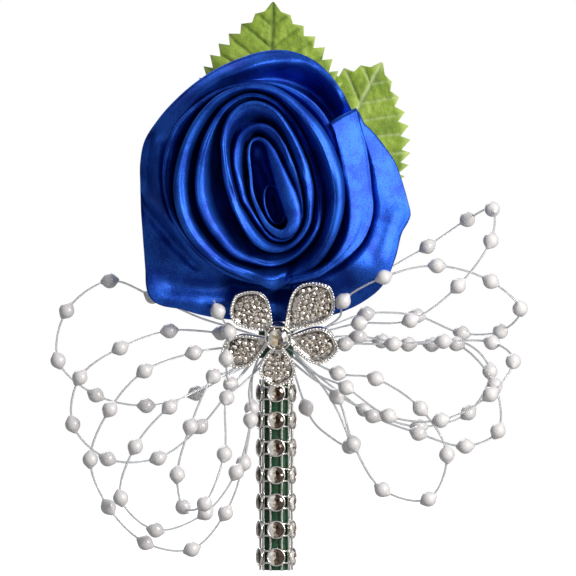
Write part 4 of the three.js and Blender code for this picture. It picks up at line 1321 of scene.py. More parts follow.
class FacetedStones:
    """Round cut stones gathered in one mesh, each facet with its own tone of painted reflection."""

    def __init__(self, seed: int) -> None:
        """Start with no stones.

        Args:
            seed: Seeds the tones, so that every run is the same.
        """
        self.shell = Shell()
        self.tones: list[float] = []
        self.dice = random.Random(seed)

    def add(self, place: Matrix, radius: float, high: float, cut: StoneCut) -> None:
        """Add a stone with a table, star, kite and girdle facets.

        Args:
            place: Its frame: the middle of its girdle, with Z out of the setting.
            radius: Radius of its girdle.
            high: Girdle to table.
            cut: Its sides, its depth as a share of the radius, and how clearly its halves differ in painted reflection.
        """
        sides = cut.sides
        spin = self.dice.uniform(0, math.pi)
        table, middle, girdle = [], [], []
        for k in range(sides):
            t = spin + 2 * math.pi * k / sides
            u = t + math.pi / sides
            table.append(Vector((cut.table * radius * math.cos(t), cut.table * radius * math.sin(t), high)))
            star_high = high * cut.star_high
            middle.append(Vector((cut.star * radius * math.cos(u), cut.star * radius * math.sin(u), star_high)))
            girdle.append(Vector((radius * math.cos(t), radius * math.sin(t), 0)))
            girdle.append(Vector((radius * math.cos(u), radius * math.sin(u), 0)))
        ends = [Vector((0, 0, high * cut.crown_high)), Vector((0, 0, -cut.depth * radius))]
        points = table + middle + girdle + ends
        crown, culet = 4 * sides, 4 * sides + 1
        faces: list[tuple[int, ...]] = []
        for k in range(sides):
            n, p, m = (k + 1) % sides, (k - 1) % sides, sides + k
            here, half, there = 2 * sides + 2 * k, 2 * sides + 2 * k + 1, 2 * sides + 2 * n
            faces += [(k, n, crown), (k, m, n), (k, sides + p, here, m), (m, here, half), (m, half, there)]
            faces += [(half, here, culet), (there, half, culet)]
        self.shell.add([tuple(place @ p) for p in points], faces)
        self.tones += [self.tone(points, face, radius, cut.split) for face in faces]

    def tone(self, points: list[Vector], face: tuple[int, ...], radius: float, split: float) -> float:
        """Draw a facet's tone of painted reflection: random, or pale on the stone's left and dark on its right.

        Args:
            points: The stone's points.
            face: The facet.
            radius: Radius of the stone.
            split: How clearly the painted reflection makes the left half pale and the right half dark, 0 to 1.

        Returns:
            The tone, 0 to 1.
        """
        x = sum(points[i].x for i in face) / len(face) / radius
        y = sum(points[i].y for i in face) / len(face) / radius
        # Painted reflection: pale on the left, dark on the right, between at the lower right, mixed with a random tone.
        reflection_side = 0.5 + 1.1 * (x + 0.12) - 0.35 * max(0.0, -y) * (x > 0)
        return min(1.0, max(0.0, self.dice.random() * (1 - split) + reflection_side * split))

    def build(self, name: str, glass: Material, slot: str, *nodes: str) -> Object:
        """Make the stones' object.

        Args:
            name: The object's name.
            glass: Its material.
            slot: Not used.
            *nodes: The CAD nodes that the stones replace.

        Returns:
            The object.
        """
        obj = self.shell.build(name, smooth=False)
        marks = obj.data.attributes.new("tone", "FLOAT", "FACE")
        marks.data.foreach_set("value", self.tones)
        dress(obj, slot, glass, *nodes)
        return obj


@dataclass(frozen=True)
class TrayPlan:
    """The outline of one petal of the flower."""

    name: str
    angle: float
    length_mm: float
    width_mm: float

    def axes(self) -> tuple[Vector, Vector]:
        """Return the flat directions along the petal and across it."""
        turn = math.radians(self.angle)
        return Vector((math.cos(turn), math.sin(turn))), Vector((-math.sin(turn), math.cos(turn)))

    def outline(self, inset_mm: float, steps: int = 26) -> list[tuple[float, float]]:
        """Draw the petal's outline, in from its edge by an inset.

        Args:
            inset_mm: The inset.
            steps: Points on each side.

        Returns:
            Points in millimetres from the flower's middle, face on.
        """
        shrink = 1 - 2 * inset_mm / self.width_mm
        turn = math.radians(self.angle)
        middle = self.length_mm * 0.62
        points = []
        for side, order in ((-1, range(steps)), (1, range(steps, 0, -1))):
            for step in order:
                share = 0.5 - 0.5 * math.cos(math.pi * step / steps)
                half = self.width_mm / 2 * max(math.sin(math.pi * share**1.55), 0.0) ** 0.7
                x = middle + (self.length_mm * (0.1 + 0.9 * share) - middle) * shrink
                z = side * half * shrink
                points.append((x * math.cos(turn) - z * math.sin(turn), x * math.sin(turn) + z * math.cos(turn)))
        return points


TRAYS = (
    TrayPlan("upper_left", 134, 11.8, 8.1),
    TrayPlan("upper_right", 46, 14.3, 8.9),
    TrayPlan("right", -14, 11.9, 7.4),
    TrayPlan("lower", -91, 10.4, 7.0),
    TrayPlan("left", 203, 12.0, 6.8),
)


@dataclass
class RhinestoneFlower:
    """A cast five-petal setting with milled rims, pave beds and a round stone in a collet."""

    middle_x_mm: float = 0.4
    middle_z_mm: float = -27.8
    back_y_mm: float = -16.54
    tilt: float = 20.0
    rim_top_mm: float = 1.5
    rim_mm: float = 0.66
    core_mm: float = 2.2
    bead_mm: float = 0.27
    bead_pitch_mm: float = 0.62
    grain_mm: float = 0.11
    bed_mm: float = 1.15
    bulge_mm: float = 0.3
    stone_mm: float = 0.63
    stone_high_mm: float = 0.26
    stone_pitch_mm: float = 1.22
    stone_play_mm: float = 0.05
    stone_tip: float = 0.16
    centre_mm: float = 2.0
    centre_high_mm: float = 0.85
    collet_top_mm: float = 2.6
    collet_sides: int = 48
    mill_mm: float = 0.035
    claws: int = 8
    claw_reach_mm: float = 2.13
    post_back_mm: float = 11.0
    post_front_mm: float = 16.9
    post_mm: float = 1.4

    def __post_init__(self) -> None:
        """Start the casting, and set the frame that takes face-on millimetres, front up, to metres in place."""
        face = Matrix(((1, 0, 0, 0), (0, 0, -1, 0), (0, 1, 0, 0), (0, 0, 0, 1)))
        lean = Matrix.Rotation(math.radians(self.tilt), 4, "X")
        move = Matrix.Translation((self.middle_x_mm * MM, self.back_y_mm * MM, self.middle_z_mm * MM))
        self.place = move @ lean @ face @ Matrix.Scale(MM, 4)
        self.cast = Shell()

    def wall(self, plan: TrayPlan) -> None:
        """Add one tray: its back, outer wall, rim and floor.

        Args:
            plan: Its outline.
        """
        top, bed = self.rim_top_mm, self.bed_mm
        levels = [
            (self.core_mm, 0.0), (0.25, 0.0), (0.06, 0.08), (0.0, 0.25), (0.0, top - 0.25), (0.06, top - 0.06),
            (0.16, top - 0.1), (0.3, top - 0.16), (0.36, top - 0.12), (0.44, top), (0.58, top + 0.04),
            (self.rim_mm, top - 0.1), (self.rim_mm + 0.06, bed), (self.core_mm, bed + 0.1),
        ]
        rows = [[tuple(self.place @ Vector((x, z, high))) for x, z in plan.outline(inset)] for inset, high in levels]
        self.cast.grid(rows, round_columns=True)
        count = len(rows[0])
        self.cast.cap(-count * len(rows), count, False)
        self.cast.cap(-count, count, True)

    def beads(self, plan: TrayPlan) -> None:
        """Add the milled beads along one rim.

        Args:
            plan: The tray.
        """
        points = [Vector((x, z, self.rim_top_mm - 0.02)) for x, z in plan.outline(0.14, 60)]
        reach = 0.0
        for a, b in zip(points, points[1:] + points[:1]):
            gap = (b - a).length
            while reach < gap:
                spot = a.lerp(b, reach / gap)
                if spot.xy.length > self.centre_mm + 0.75:
                    self.cast.ball(tuple(self.place @ spot), self.bead_mm * MM, 4, 8)
                reach += self.bead_pitch_mm
            reach -= gap

    def collet(self) -> None:
        """Add the hub, the collet round the middle stone and the post to the stem."""
        top = self.collet_top_mm
        profile = [
            (2.5, 0.0), (2.55, 0.3), (2.55, 1.4), (2.62, 1.6), (2.62, top - 0.25), (2.52, top - 0.05), (2.34, top),
            (2.2, top - 0.15), (2.12, top - 0.6), (1.9, 1.6), (0.02, 1.6),
        ]
        self.cast.lathe(profile, self.collet_sides, self.place, self.mill_mm, top - 0.2)
        self.cast.cap(-self.collet_sides * len(profile), self.collet_sides, True)
        for k in range(self.claws):
            t = 2 * math.pi * (k + 0.5) / self.claws
            spot = Vector((self.claw_reach_mm * math.cos(t), self.claw_reach_mm * math.sin(t), top + 0.02))
            self.cast.ball(tuple(self.place @ spot), self.bead_mm * MM, 5, 9)
        x, z = self.middle_x_mm * MM, self.middle_z_mm * MM
        depths = (self.post_back_mm, self.post_back_mm + 0.3, 14.0, self.post_front_mm)
        thick = self.post_mm * MM
        self.cast.tube([Vector((x, -y * MM, z)) for y in depths], [1.2 * MM, thick, thick, thick], 24)

    def lattice(
        self, plan: TrayPlan, inset_mm: float, clear_mm: float, steps: tuple[float, ...]
    ) -> Iterator[tuple[Vector, float]]:
        """Lay a honeycomb of places over a tray's bed.

        Args:
            plan: The tray.
            inset_mm: How far from the tray's edge the places begin.
            clear_mm: How far from the middle stone they begin.
            steps: Where they lie between one row of stones and the next, 0 for the stones themselves.

        Yields:
            A flat place, and how far the bed bulges there.
        """
        edge = [Vector(p) for p in plan.outline(inset_mm)]
        along, across = plan.axes()
        row_gap = self.stone_pitch_mm * math.sqrt(3) / 2
        for row in range(-1, int(plan.length_mm / row_gap) + 2):
            for column in range(-5, 6):
                for up in steps:
                    offset = (column + 0.5 * ((row + (up > 0.5)) % 2)) * self.stone_pitch_mm
                    spot = along * ((row + up) * row_gap + 0.3) + across * offset
                    if spot.length >= self.centre_mm + clear_mm and inside(spot, edge):
                        yield spot, self.bulge_mm * max(0.0, 1 - abs(offset) / (plan.width_mm / 2))

    def pave(self, plan: TrayPlan, seed: int, glass: Material) -> Object:
        """Fill one tray with closely set stones.

        Args:
            plan: The tray.
            seed: Seeds the stones' tones and jitter.
            glass: Their material.

        Returns:
            The stones' object.
        """
        stones = FacetedStones(seed)
        play, tip = self.stone_play_mm, self.stone_tip
        for spot, crown in self.lattice(plan, self.rim_mm + self.stone_mm * 0.72, 0.9, (0,)):
            spot += Vector([stones.dice.uniform(-play, play) for _ in "XZ"])
            turned = [Matrix.Rotation(stones.dice.uniform(-tip, tip), 4, axis) for axis in "XY"]
            lift = Matrix.Translation((spot.x, spot.y, self.bed_mm + 0.22 + crown))
            seat = self.place @ lift @ (turned[0] @ turned[1])
            # Each pave stone's facets get random tones of painted reflection.
            stones.add(seat, self.stone_mm, self.stone_high_mm, StoneCut(depth=0.5))
        return stones.build("stones_" + plan.name, glass, "pave_crystal", "pave_" + plan.name)

    def prongs(self, plan: TrayPlan) -> None:
        """Add the tiny grain beads that hold the pave stones.

        Args:
            plan: The tray.
        """
        for spot, crown in self.lattice(plan, self.rim_mm + 0.1, 0.8, (1 / 3, 2 / 3)):
            middle = self.place @ Vector((spot.x, spot.y, self.bed_mm + 0.33 + crown))
            self.cast.ball(tuple(middle), self.grain_mm * MM, 3, 6)

    def build(self, plate: Material, glass: Material, centre: Material) -> None:
        """Build and dress the flower.

        Args:
            plate: The setting's material.
            glass: The pave stones' material.
            centre: The middle stone's material.
        """
        for number, plan in enumerate(TRAYS):
            self.wall(plan)
            self.beads(plan)
            self.prongs(plan)
            stones = self.pave(plan, 40 + number, glass)
            log.info("pave %s: %d facets", plan.name, len(stones.data.polygons))
        self.collet()
        obj = self.cast.build("cast_flower")
        dress(obj, "flower_silver", plate, "flower_setting")
        middle = FacetedStones(9)
        seat = self.place @ Matrix.Translation((0, 0, self.collet_top_mm - 0.05))
        # Its facets get a painted reflection, mostly pale at the left and dark at the right.
        middle.add(seat, self.centre_mm, self.centre_high_mm, StoneCut(10, 0.4, 0.6))
        middle.build("middle_stone", centre, "crystal", "centre_stone")
        log.info("flower: %d points", len(obj.data.vertices))


@dataclass
class StoneBanding:
    """Rhinestone banding round the stem: five columns of cup-set stones joined by silver wires."""

    axis_y_mm: float = -7.2
    columns: int = 5
    rows: int = 7
    pitch_mm: float = 5.3
    last_z_mm: float = -71.1
    wire_middle_mm: float = 3.11
    wire_mm: float = 0.42
    wire_offset_mm: float = 1.15
    wire_sides: int = 8
    cup_sides: int = 26
    girdle_mm: float = 3.42
    stone_mm: float = 1.56
    stone_high_mm: float = 0.42
    # How clearly the painted reflection makes each stone pale at the left and dark at the right: the front column more,
    # the side columns less.
    front_reflection_split: float = 0.86
    side_reflection_split: float = 0.5

    def __post_init__(self) -> None:
        """Start the net of cups and wires."""
        self.net = Shell()

    def turn(self, column: int) -> float:
        """Return how far a column stands round the stem from the front, in radians."""
        return 2 * math.pi / self.columns * (column - (self.columns - 1) / 2)

    def place(self, column: int, z_mm: float) -> Matrix:
        """Return the frame of a cup: its middle on the stem's axis, Z outwards and Y up.

        Args:
            column: The cup's column.
            z_mm: Its height.

        Returns:
            The matrix from its millimetres to metres.
        """
        face = Matrix(((1, 0, 0, 0), (0, 0, -1, self.axis_y_mm), (0, 1, 0, 0), (0, 0, 0, 1)))
        axis = Matrix.Translation((0, self.axis_y_mm, 0))
        about = axis @ Matrix.Rotation(self.turn(column), 4, "Z") @ Matrix.Translation((0, -self.axis_y_mm, 0))
        return Matrix.Scale(MM, 4) @ Matrix.Translation((0, 0, z_mm)) @ about @ face

    def cup(self, place: Matrix) -> None:
        """Add one round cup with its edge turned in over the stone.

        Args:
            place: The cup's frame.
        """
        profile = [
            (0.02, 3.0), (1.35, 3.0), (1.62, 3.06), (1.74, 3.2), (1.8, 3.4), (1.8, 3.52), (1.74, 3.62), (1.62, 3.66),
            (1.52, 3.6), (1.48, 3.45), (1.42, 3.2), (0.02, 3.2),
        ]
        self.net.lathe(profile, self.cup_sides, place)

    def wire(self, places: Profile) -> None:
        """Add one wire on the stem.

        Args:
            places: Its angles round the stem from the front, and its heights.
        """
        path = []
        for away, z in places:
            angle = away - math.pi / 2
            across = self.wire_middle_mm * math.cos(angle)
            path.append(Vector((across, self.axis_y_mm + self.wire_middle_mm * math.sin(angle), z)) * MM)
        self.net.tube(path, [self.wire_mm / 2 * MM] * len(path), self.wire_sides)

    def wires(self) -> None:
        """Add the wires down both sides of each column and the short ones between columns."""
        steps, bridge, swell = self.rows * 8, 8, 0.07
        low = self.last_z_mm - self.pitch_mm / 2
        high = self.last_z_mm + (self.rows - 0.5) * self.pitch_mm
        away = math.asin(self.wire_offset_mm / self.wire_middle_mm)
        gap = 2 * math.pi / self.columns - 2 * away
        for column in range(self.columns):
            turn = self.turn(column)
            for side in (-1, 1):
                places = []
                for z in [low + (high - low) * k / steps for k in range(steps + 1)]:
                    wave = swell * math.cos(2 * math.pi * (z - self.last_z_mm) / self.pitch_mm)
                    places.append((turn + side * (away + wave * 0.3), z))
                self.wire(places)
            if column + 1 == self.columns:
                continue
            for row in range(self.rows):
                for side in (-1, 1):
                    z = self.last_z_mm + row * self.pitch_mm + side * self.wire_offset_mm
                    self.wire([(turn + away + gap * k / bridge, z) for k in range(bridge + 1)])

    def build(self, plate: Material, glass: Material) -> None:
        """Build and dress the banding.

        Args:
            plate: The cups' and wires' material.
            glass: The stones' material.
        """
        stones = FacetedStones(5)
        self.wires()
        for column in range(self.columns):
            split = self.front_reflection_split if column == self.columns // 2 else self.side_reflection_split
            for row in range(self.rows):
                place = self.place(column, self.last_z_mm + row * self.pitch_mm)
                self.cup(place)
                seat = place @ Matrix.Translation((0, 0, self.girdle_mm))
                stones.add(seat, self.stone_mm, self.stone_high_mm, StoneCut(8, 0.1, split))
        net = self.net.build("banding_net")
        dress(net, "banding_silver", plate, "rhinestone_banding")
        cut = stones.build("banding_stones", glass, "crystal")
        log.info("banding: %d points of silver, %d facets", len(net.data.vertices), len(cut.data.polygons))


@dataclass(frozen=True)
class FloralTape:
    """Waxed crepe paper tape, stretched and wound: matt green with fine crossways creases."""

    green: str = "#1b5232"
    dark: str = "#0e3a20"
    roughness: float = 0.62
    ior: float = 1.48
    crepe_mm: float = 0.35
    crepe_high_mm: float = 0.1

    def make(self) -> Material:
        """Build the material.

        Returns:
            The material.
        """
        material, tree, place = new_material("floral_tape")
        stretch = add_node(tree, "Mapping", {"Vector": place, "Scale": (0.35, 0.35, 1.0)}).outputs[0]
        creases = add_node(tree, "TexNoise", grain(stretch, self.crepe_mm, 3.0))
        crepe = creases.outputs["Fac"]
        return surface(material, {
            "Base Color": ramp(tree, crepe, [(0.3, self.dark), (0.65, self.green)]),
            "Roughness": self.roughness,
            "IOR": self.ior,
        }, (crepe, 0.5, self.crepe_high_mm))


@dataclass(frozen=True)
class FeltCloth:
    """Pressed polyester felt, die cut: a matt fuzz of short fibres lying every way."""

    navy: str = "#16305c"
    pale: str = "#2a4a80"
    fuzz: str = "#8fa6d8"
    roughness: float = 0.95
    ior: float = 1.5
    swirl_mm: float = 2.0
    fibre_mm: float = 0.5
    fibre_high_mm: float = 0.15

    def make(self) -> Material:
        """Build the material, whose fibres swirl.

        Returns:
            The material.
        """
        material, tree, place = new_material("pressed_felt")
        warp = add_node(tree, "TexNoise", grain(place, self.swirl_mm, 2.0))
        reach = (0.004, 0.004, 0.004)
        bent = add_node(tree, "VectorMath", {0: warp.outputs["Color"], 1: reach}, operation="MULTIPLY").outputs[0]
        moved = add_node(tree, "VectorMath", {0: place, 1: bent}, operation="ADD").outputs[0]
        hairs = grain(moved, self.fibre_mm, 6.0) | {"Roughness": 0.75}
        fibre = add_node(tree, "TexNoise", hairs).outputs["Fac"]
        return surface(material, {
            "Base Color": ramp(tree, fibre, [(0.35, self.navy), (0.7, self.pale)]),
            "Roughness": self.roughness,
            "IOR": self.ior,
            "Sheen Weight": 0.5,
            "Sheen Tint": linear(self.fuzz),
        }, (fibre, 0.7, self.fibre_high_mm))


@dataclass(frozen=True)
class GlueFoam:
    """Foam pad soaked with hot-melt EVA glue: milky, slightly waxy and lumpy."""

    cream: str = "#d9d6cc"
    amber: str = "#c9c2ae"
    roughness: float = 0.5
    ior: float = 1.48
    lump_mm: float = 1.5
    lump_high_mm: float = 0.4
    milk: float = 0.15
    milk_mm: float = 2.0

    def make(self) -> Material:
        """Build the material.

        Returns:
            The material.
        """
        material, tree, place = new_material("glue_foam")
        lumps = add_node(tree, "TexNoise", grain(place, self.lump_mm, 4.0))
        lump = lumps.outputs["Fac"]
        return surface(material, {
            "Base Color": ramp(tree, lump, [(0.35, self.amber), (0.65, self.cream)]),
            "Roughness": self.roughness,
            "IOR": self.ior,
            "Subsurface Weight": self.milk,
            "Subsurface Scale": self.milk_mm * MM,
        }, (lump, 0.6, self.lump_high_mm))


@dataclass(frozen=True)
class NickelSteel:
    """Nickel-plated steel of a bar pin, drawn and stamped: grey, satin bright, with fine drawing lines."""

    grey: str = "#b4b3ae"
    dull: str = "#8d8b86"
    roughness: float = 0.26
    line_mm: float = 0.25
    line_high_mm: float = 0.03

    def make(self) -> Material:
        """Build the material.

        Returns:
            The material.
        """
        material, tree, place = new_material("nickel_steel")
        drawn = add_node(tree, "Mapping", {"Vector": place, "Scale": (0.08, 1.0, 1.0)}).outputs[0]
        streaks = add_node(tree, "TexNoise", grain(drawn, self.line_mm, 3.0))
        lines = streaks.outputs["Fac"]
        rough = add_node(tree, "MapRange", {"Value": lines, "To Min": self.roughness, "To Max": self.roughness + 0.16})
        return surface(material, {
            "Base Color": ramp(tree, lines, [(0.25, self.dull), (0.55, self.grey)]),
            "Roughness": rough.outputs["Result"],
            "Metallic": 1.0,
        }, (lines, 0.1, self.line_high_mm))


@dataclass(frozen=True)
class TapeWinding:
    """One stretch of tape wound round the stem, in millimetres."""

    name: str
    node: str
    radius_mm: float
    low_mm: float
    high_mm: float
    turn_mm: float


# The pin's parts and the stem's wire stay the CAD's own solids, each listed with the body it belongs to.
STEEL_PARTS = {
    "pin_bar": Body.BROOCH,
    "pin_rivet": Body.BROOCH,
    "pin_needle": Body.NEEDLE,
    "pin_rotor": Body.ROTOR,
    "stem_core": Body.BROOCH,
}


@dataclass
class StemAndBack:
    """The taped stem, the tape binding, the glue pad, the felt disc and the bar pin."""

    sleeve: TapeWinding = TapeWinding("tape_sleeve", "stem_tape", 2.6, -73.7, -32.8, 4.2)
    binding: TapeWinding = TapeWinding("tape_binding", "stem_binding", 3.5, -32.5, -27.2, 2.1)
    axis_y_mm: float = -7.2
    core_mm: float = 1.6
    tape_thick_mm: float = 0.16
    tape_sides: int = 40
    felt_mm: float = 14.5
    felt_back_mm: float = 1.1
    felt_thick_mm: float = 1.0
    felt_sides: int = 120
    fray_mm: float = 0.09
    pad_mm: float = 11.0
    pad_back_mm: float = 4.0
    pad_front_mm: float = 10.1
    pad_sides: int = 63
    slot_half_mm: float = 1.6
    slot_top_mm: float = -2.7

    def ring(self, radii: list[float], z: float) -> list[Vec3]:
        """Lay a ring of points round the stem.

        Args:
            radii: The radius at each point, in millimetres.
            z: Its height in millimetres.

        Returns:
            The points in metres.
        """
        spots = zip(radii, turns(len(radii)))
        return [(r * math.cos(t) * MM, (self.axis_y_mm + r * math.sin(t)) * MM, z * MM) for r, t in spots]

    def wound(self, plan: TapeWinding, tape: Material) -> None:
        """Wind tape round the stem in overlapping turns.

        Args:
            plan: The winding.
            tape: Its material.
        """
        tall, edge = plan.high_mm - plan.low_mm, 0.94
        levels = max(12, int(tall / 0.3))
        rows = []
        for z in [plan.low_mm + tall * k / levels for k in range(levels + 1)]:
            radii = []
            for i, t in enumerate(turns(self.tape_sides)):
                turn = ((z - plan.low_mm) / plan.turn_mm + i / self.tape_sides) % 1
                step = self.tape_thick_mm * turn if turn < edge else self.tape_thick_mm * (1 - turn) / 0.06
                bulge = 0.06 * noise.noise(Vector((math.cos(t) * 2, math.sin(t) * 2, z / 1.4)))
                radii.append(plan.radius_mm - 0.2 + step + bulge)
            rows.append(self.ring(radii, z))
        hole = [self.ring([self.core_mm] * self.tape_sides, z) for z in (plan.high_mm, plan.low_mm)]
        shell = Shell()
        shell.grid(rows + hole, round_rows=True, round_columns=True)
        dress(shell.build(plan.name), "floral_tape", tape, plan.node)

    def felt(self, cloth: Material) -> None:
        """Args:
            cloth: Its material.
        """
        flank = (0.02, 0.5, 0.9, 0.985)
        levels = [(0.0, s) for s in flank] + [(0.25, 1.0), (0.75, 1.0)] + [(1.0, s) for s in reversed(flank)]
        rows = []
        for depth, share in levels:
            row = []
            for t in turns(self.felt_sides):
                fibre = noise.noise(Vector((math.cos(t) * 9, math.sin(t) * 9, depth * 3)))
                reach = self.felt_mm * share + self.fray_mm * fibre * (share > 0.9) - 0.08
                y = -(self.felt_back_mm + self.felt_thick_mm * depth)
                row.append((reach * math.cos(t) * MM, y * MM, reach * math.sin(t) * MM))
            rows.append(row)
        shell = Shell()
        shell.grid(rows, round_columns=True)
        obj = shell.build("felt_backing")
        dress(obj, "felt", cloth, "felt_disc")

    def pad(self, foam: Material) -> None:
        """Args:
            foam: Its material.
        """
        half = self.slot_half_mm
        outline = []
        for k in range(self.pad_sides + 1):
            t = math.radians(-81.5 + 343 * k / self.pad_sides)
            reach = self.pad_mm - 0.12 + 0.1 * noise.noise(Vector((math.cos(t) * 3, math.sin(t) * 3, 1.0)))
            outline.append((reach * math.cos(t), reach * math.sin(t)))
        outline += [(-half, self.slot_top_mm), (half, self.slot_top_mm)]
        depth = self.pad_front_mm - self.pad_back_mm
        rows = []
        for share, size in ((0.0, 0.93), (0.08, 0.985), (0.25, 1.0), (0.75, 1.0), (0.92, 0.985), (1.0, 0.93)):
            y = -(self.pad_back_mm + depth * share)
            rows.append([((x if abs(x) <= half else x * size) * MM, y * MM, z * size * MM) for x, z in outline])
        shell = Shell()
        shell.grid(rows, round_columns=True)
        shell.cap(0, len(outline), True)
        shell.cap(-len(outline), len(outline), False)
        obj = shell.build("glue_pad")
        dress(obj, "pad_foam", foam, "backing_pad")

    def build(
        self, tape: Material, cloth: Material, foam: Material, steel: Material
    ) -> None:
        """Build and dress the stem and the back.

        Args:
            tape: The tape's material.
            cloth: The felt's material.
            foam: The pad's material.
            steel: The pin's and the core's material.
        """
        self.wound(self.sleeve, tape)
        self.wound(self.binding, tape)
        self.felt(cloth)
        self.pad(foam)
        for node, body in STEEL_PARTS.items():
            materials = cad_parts[node].data.materials
            for number in range(len(materials)):
                materials[number] = steel
            if not len(materials):
                materials.append(steel)
            log.info("%s: the CAD solid, on body %s", node, body.value)
        log.info("stem, pad and felt are dressed")


# The routes of the sprays: each point in tenths of a millimetre, and 1 where a pearl sits on it.
ROUTES: dict[str, Route] = {
    "strand_left_1": (
        (-36, -59, -282, 0), (-90, -65, -265, 0), (-150, -85, -246, 0), (-240, -100, -205, 1), (-323, -95, -175, 1),
        (-407, -85, -233, 1), (-424, -75, -330, 1), (-351, -65, -397, 1), (-253, -55, -418, 1),
        (-156, -45, -394, 1), (-85, -42, -350, 0), (-29, -48, -312, 0),
    ),
    "strand_left_2": (
        (-38, -72, -282, 0), (-107, -95, -276, 1), (-207, -110, -272, 1), (-302, -125, -305, 1),
        (-380, -125, -362, 1), (-394, -120, -453, 1), (-327, -110, -520, 1), (-229, -95, -519, 1),
        (-147, -85, -458, 1), (-85, -70, -380, 0), (-36, -59, -315, 0),
    ),
    "strand_left_3": (
        (-36, -85, -296, 0), (-80, -120, -302, 0), (-159, -155, -314, 1), (-254, -165, -349, 1),
        (-321, -165, -423, 1), (-359, -160, -520, 1), (-324, -155, -612, 1), (-253, -150, -681, 1),
        (-163, -145, -694, 1), (-98, -140, -624, 1), (-63, -135, -528, 1), (-47, -125, -422, 1),
        (-47, -104, -365, 0), (-34, -89, -322, 0),
    ),
    "strand_left_4": (
        (-29, -96, -284, 0), (-60, -112, -338, 0), (-120, -148, -370, 0), (-205, -195, -418, 1),
        (-271, -200, -494, 1), (-299, -200, -593, 1), (-232, -195, -655, 1), (-136, -190, -622, 1),
        (-77, -180, -544, 1), (-49, -170, -443, 1), (-52, -136, -385, 0), (-42, -118, -350, 0),
        (-22, -103, -322, 0),
    ),
    "strand_left_5": (
        (-19, -105, -302, 0), (-50, -124, -326, 0), (-80, -136, -344, 0), (-100, -156, -354, 0),
        (-121, -185, -359, 1), (-165, -210, -455, 1), (-190, -215, -548, 1), (-179, -205, -610, 1),
        (-137, -270, -602, 1), (-99, -250, -507, 1), (-95, -195, -400, 1), (-65, -155, -374, 0),
        (-10, -109, -323, 0),
    ),
    "strand_left_6": (
        (-120, -199, -212, 0), (-112, -194, -234, 1), (-91, -176, -274, 1), (-96, -193, -325, 1),
        (-88, -140, -375, 1), (-59, -119, -349, 0), (-31, -95, -310, 0),
    ),
    "strand_right_1": (
        (19, -105, -286, 0), (50, -134, -287, 0), (90, -161, -268, 0), (123, -180, -244, 0), (129, -202, -214, 1),
        (207, -196, -168, 1), (310, -180, -146, 1), (414, -170, -176, 1), (471, -160, -229, 1), (435, -95, -273, 1),
        (361, -60, -277, 1), (274, -45, -243, 1), (175, -55, -239, 1), (100, -55, -265, 0), (36, -59, -282, 0),
    ),
    "strand_right_2": (
        (29, -48, -276, 0), (100, -60, -240, 0), (185, -85, -175, 1), (238, -80, -140, 0), (294, -80, -108, 1),
        (371, -95, -56, 1), (417, -170, -37, 1), (412, -235, -98, 1), (349, -240, -185, 1), (258, -225, -251, 1),
        (160, -190, -257, 1), (105, -148, -270, 0), (50, -125, -282, 0), (29, -96, -290, 0),
    ),
    "strand_right_3": (
        (38, -72, -290, 0), (159, -90, -283, 1), (256, -90, -298, 1), (349, -95, -297, 1), (424, -105, -378, 1),
        (430, -105, -466, 1), (367, -95, -496, 1), (276, -90, -471, 1), (187, -85, -437, 1), (110, -80, -382, 0),
        (65, -75, -345, 0), (36, -85, -315, 0),
    ),
    "strand_right_4": (
        (36, -85, -302, 0), (133, -130, -297, 1), (226, -135, -297, 1), (323, -140, -292, 1), (417, -140, -294, 1),
        (456, -210, -330, 1), (411, -240, -393, 1), (316, -225, -443, 1), (216, -200, -435, 1),
        (135, -175, -381, 1), (75, -130, -355, 0), (29, -96, -320, 0),
    ),
    "strand_right_5": (
        (36, -59, -296, 0), (205, -48, -292, 1), (303, -50, -299, 1), (374, -53, -299, 0), (416, -60, -351, 1),
        (374, -55, -432, 1), (278, -50, -459, 1), (171, -48, -425, 1), (80, -46, -370, 0), (29, -48, -308, 0),
    ),
    "strand_right_6": (
        (19, -105, -304, 0), (119, -123, -354, 1), (192, -155, -364, 1), (278, -180, -421, 1), (329, -185, -510, 1),
        (294, -175, -596, 1), (205, -160, -578, 1), (149, -145, -490, 1), (117, -130, -399, 1), (65, -115, -360, 0),
        (19, -105, -322, 0),
    ),
    "strand_right_7": (
        (19, -39, -300, 0), (58, -50, -422, 1), (73, -55, -450, 0), (95, -70, -471, 0), (142, -112, -496, 1),
        (125, -110, -440, 0), (90, -100, -380, 0), (38, -72, -322, 0),
    ),
}
TENTHS_PER_METRE = 10000


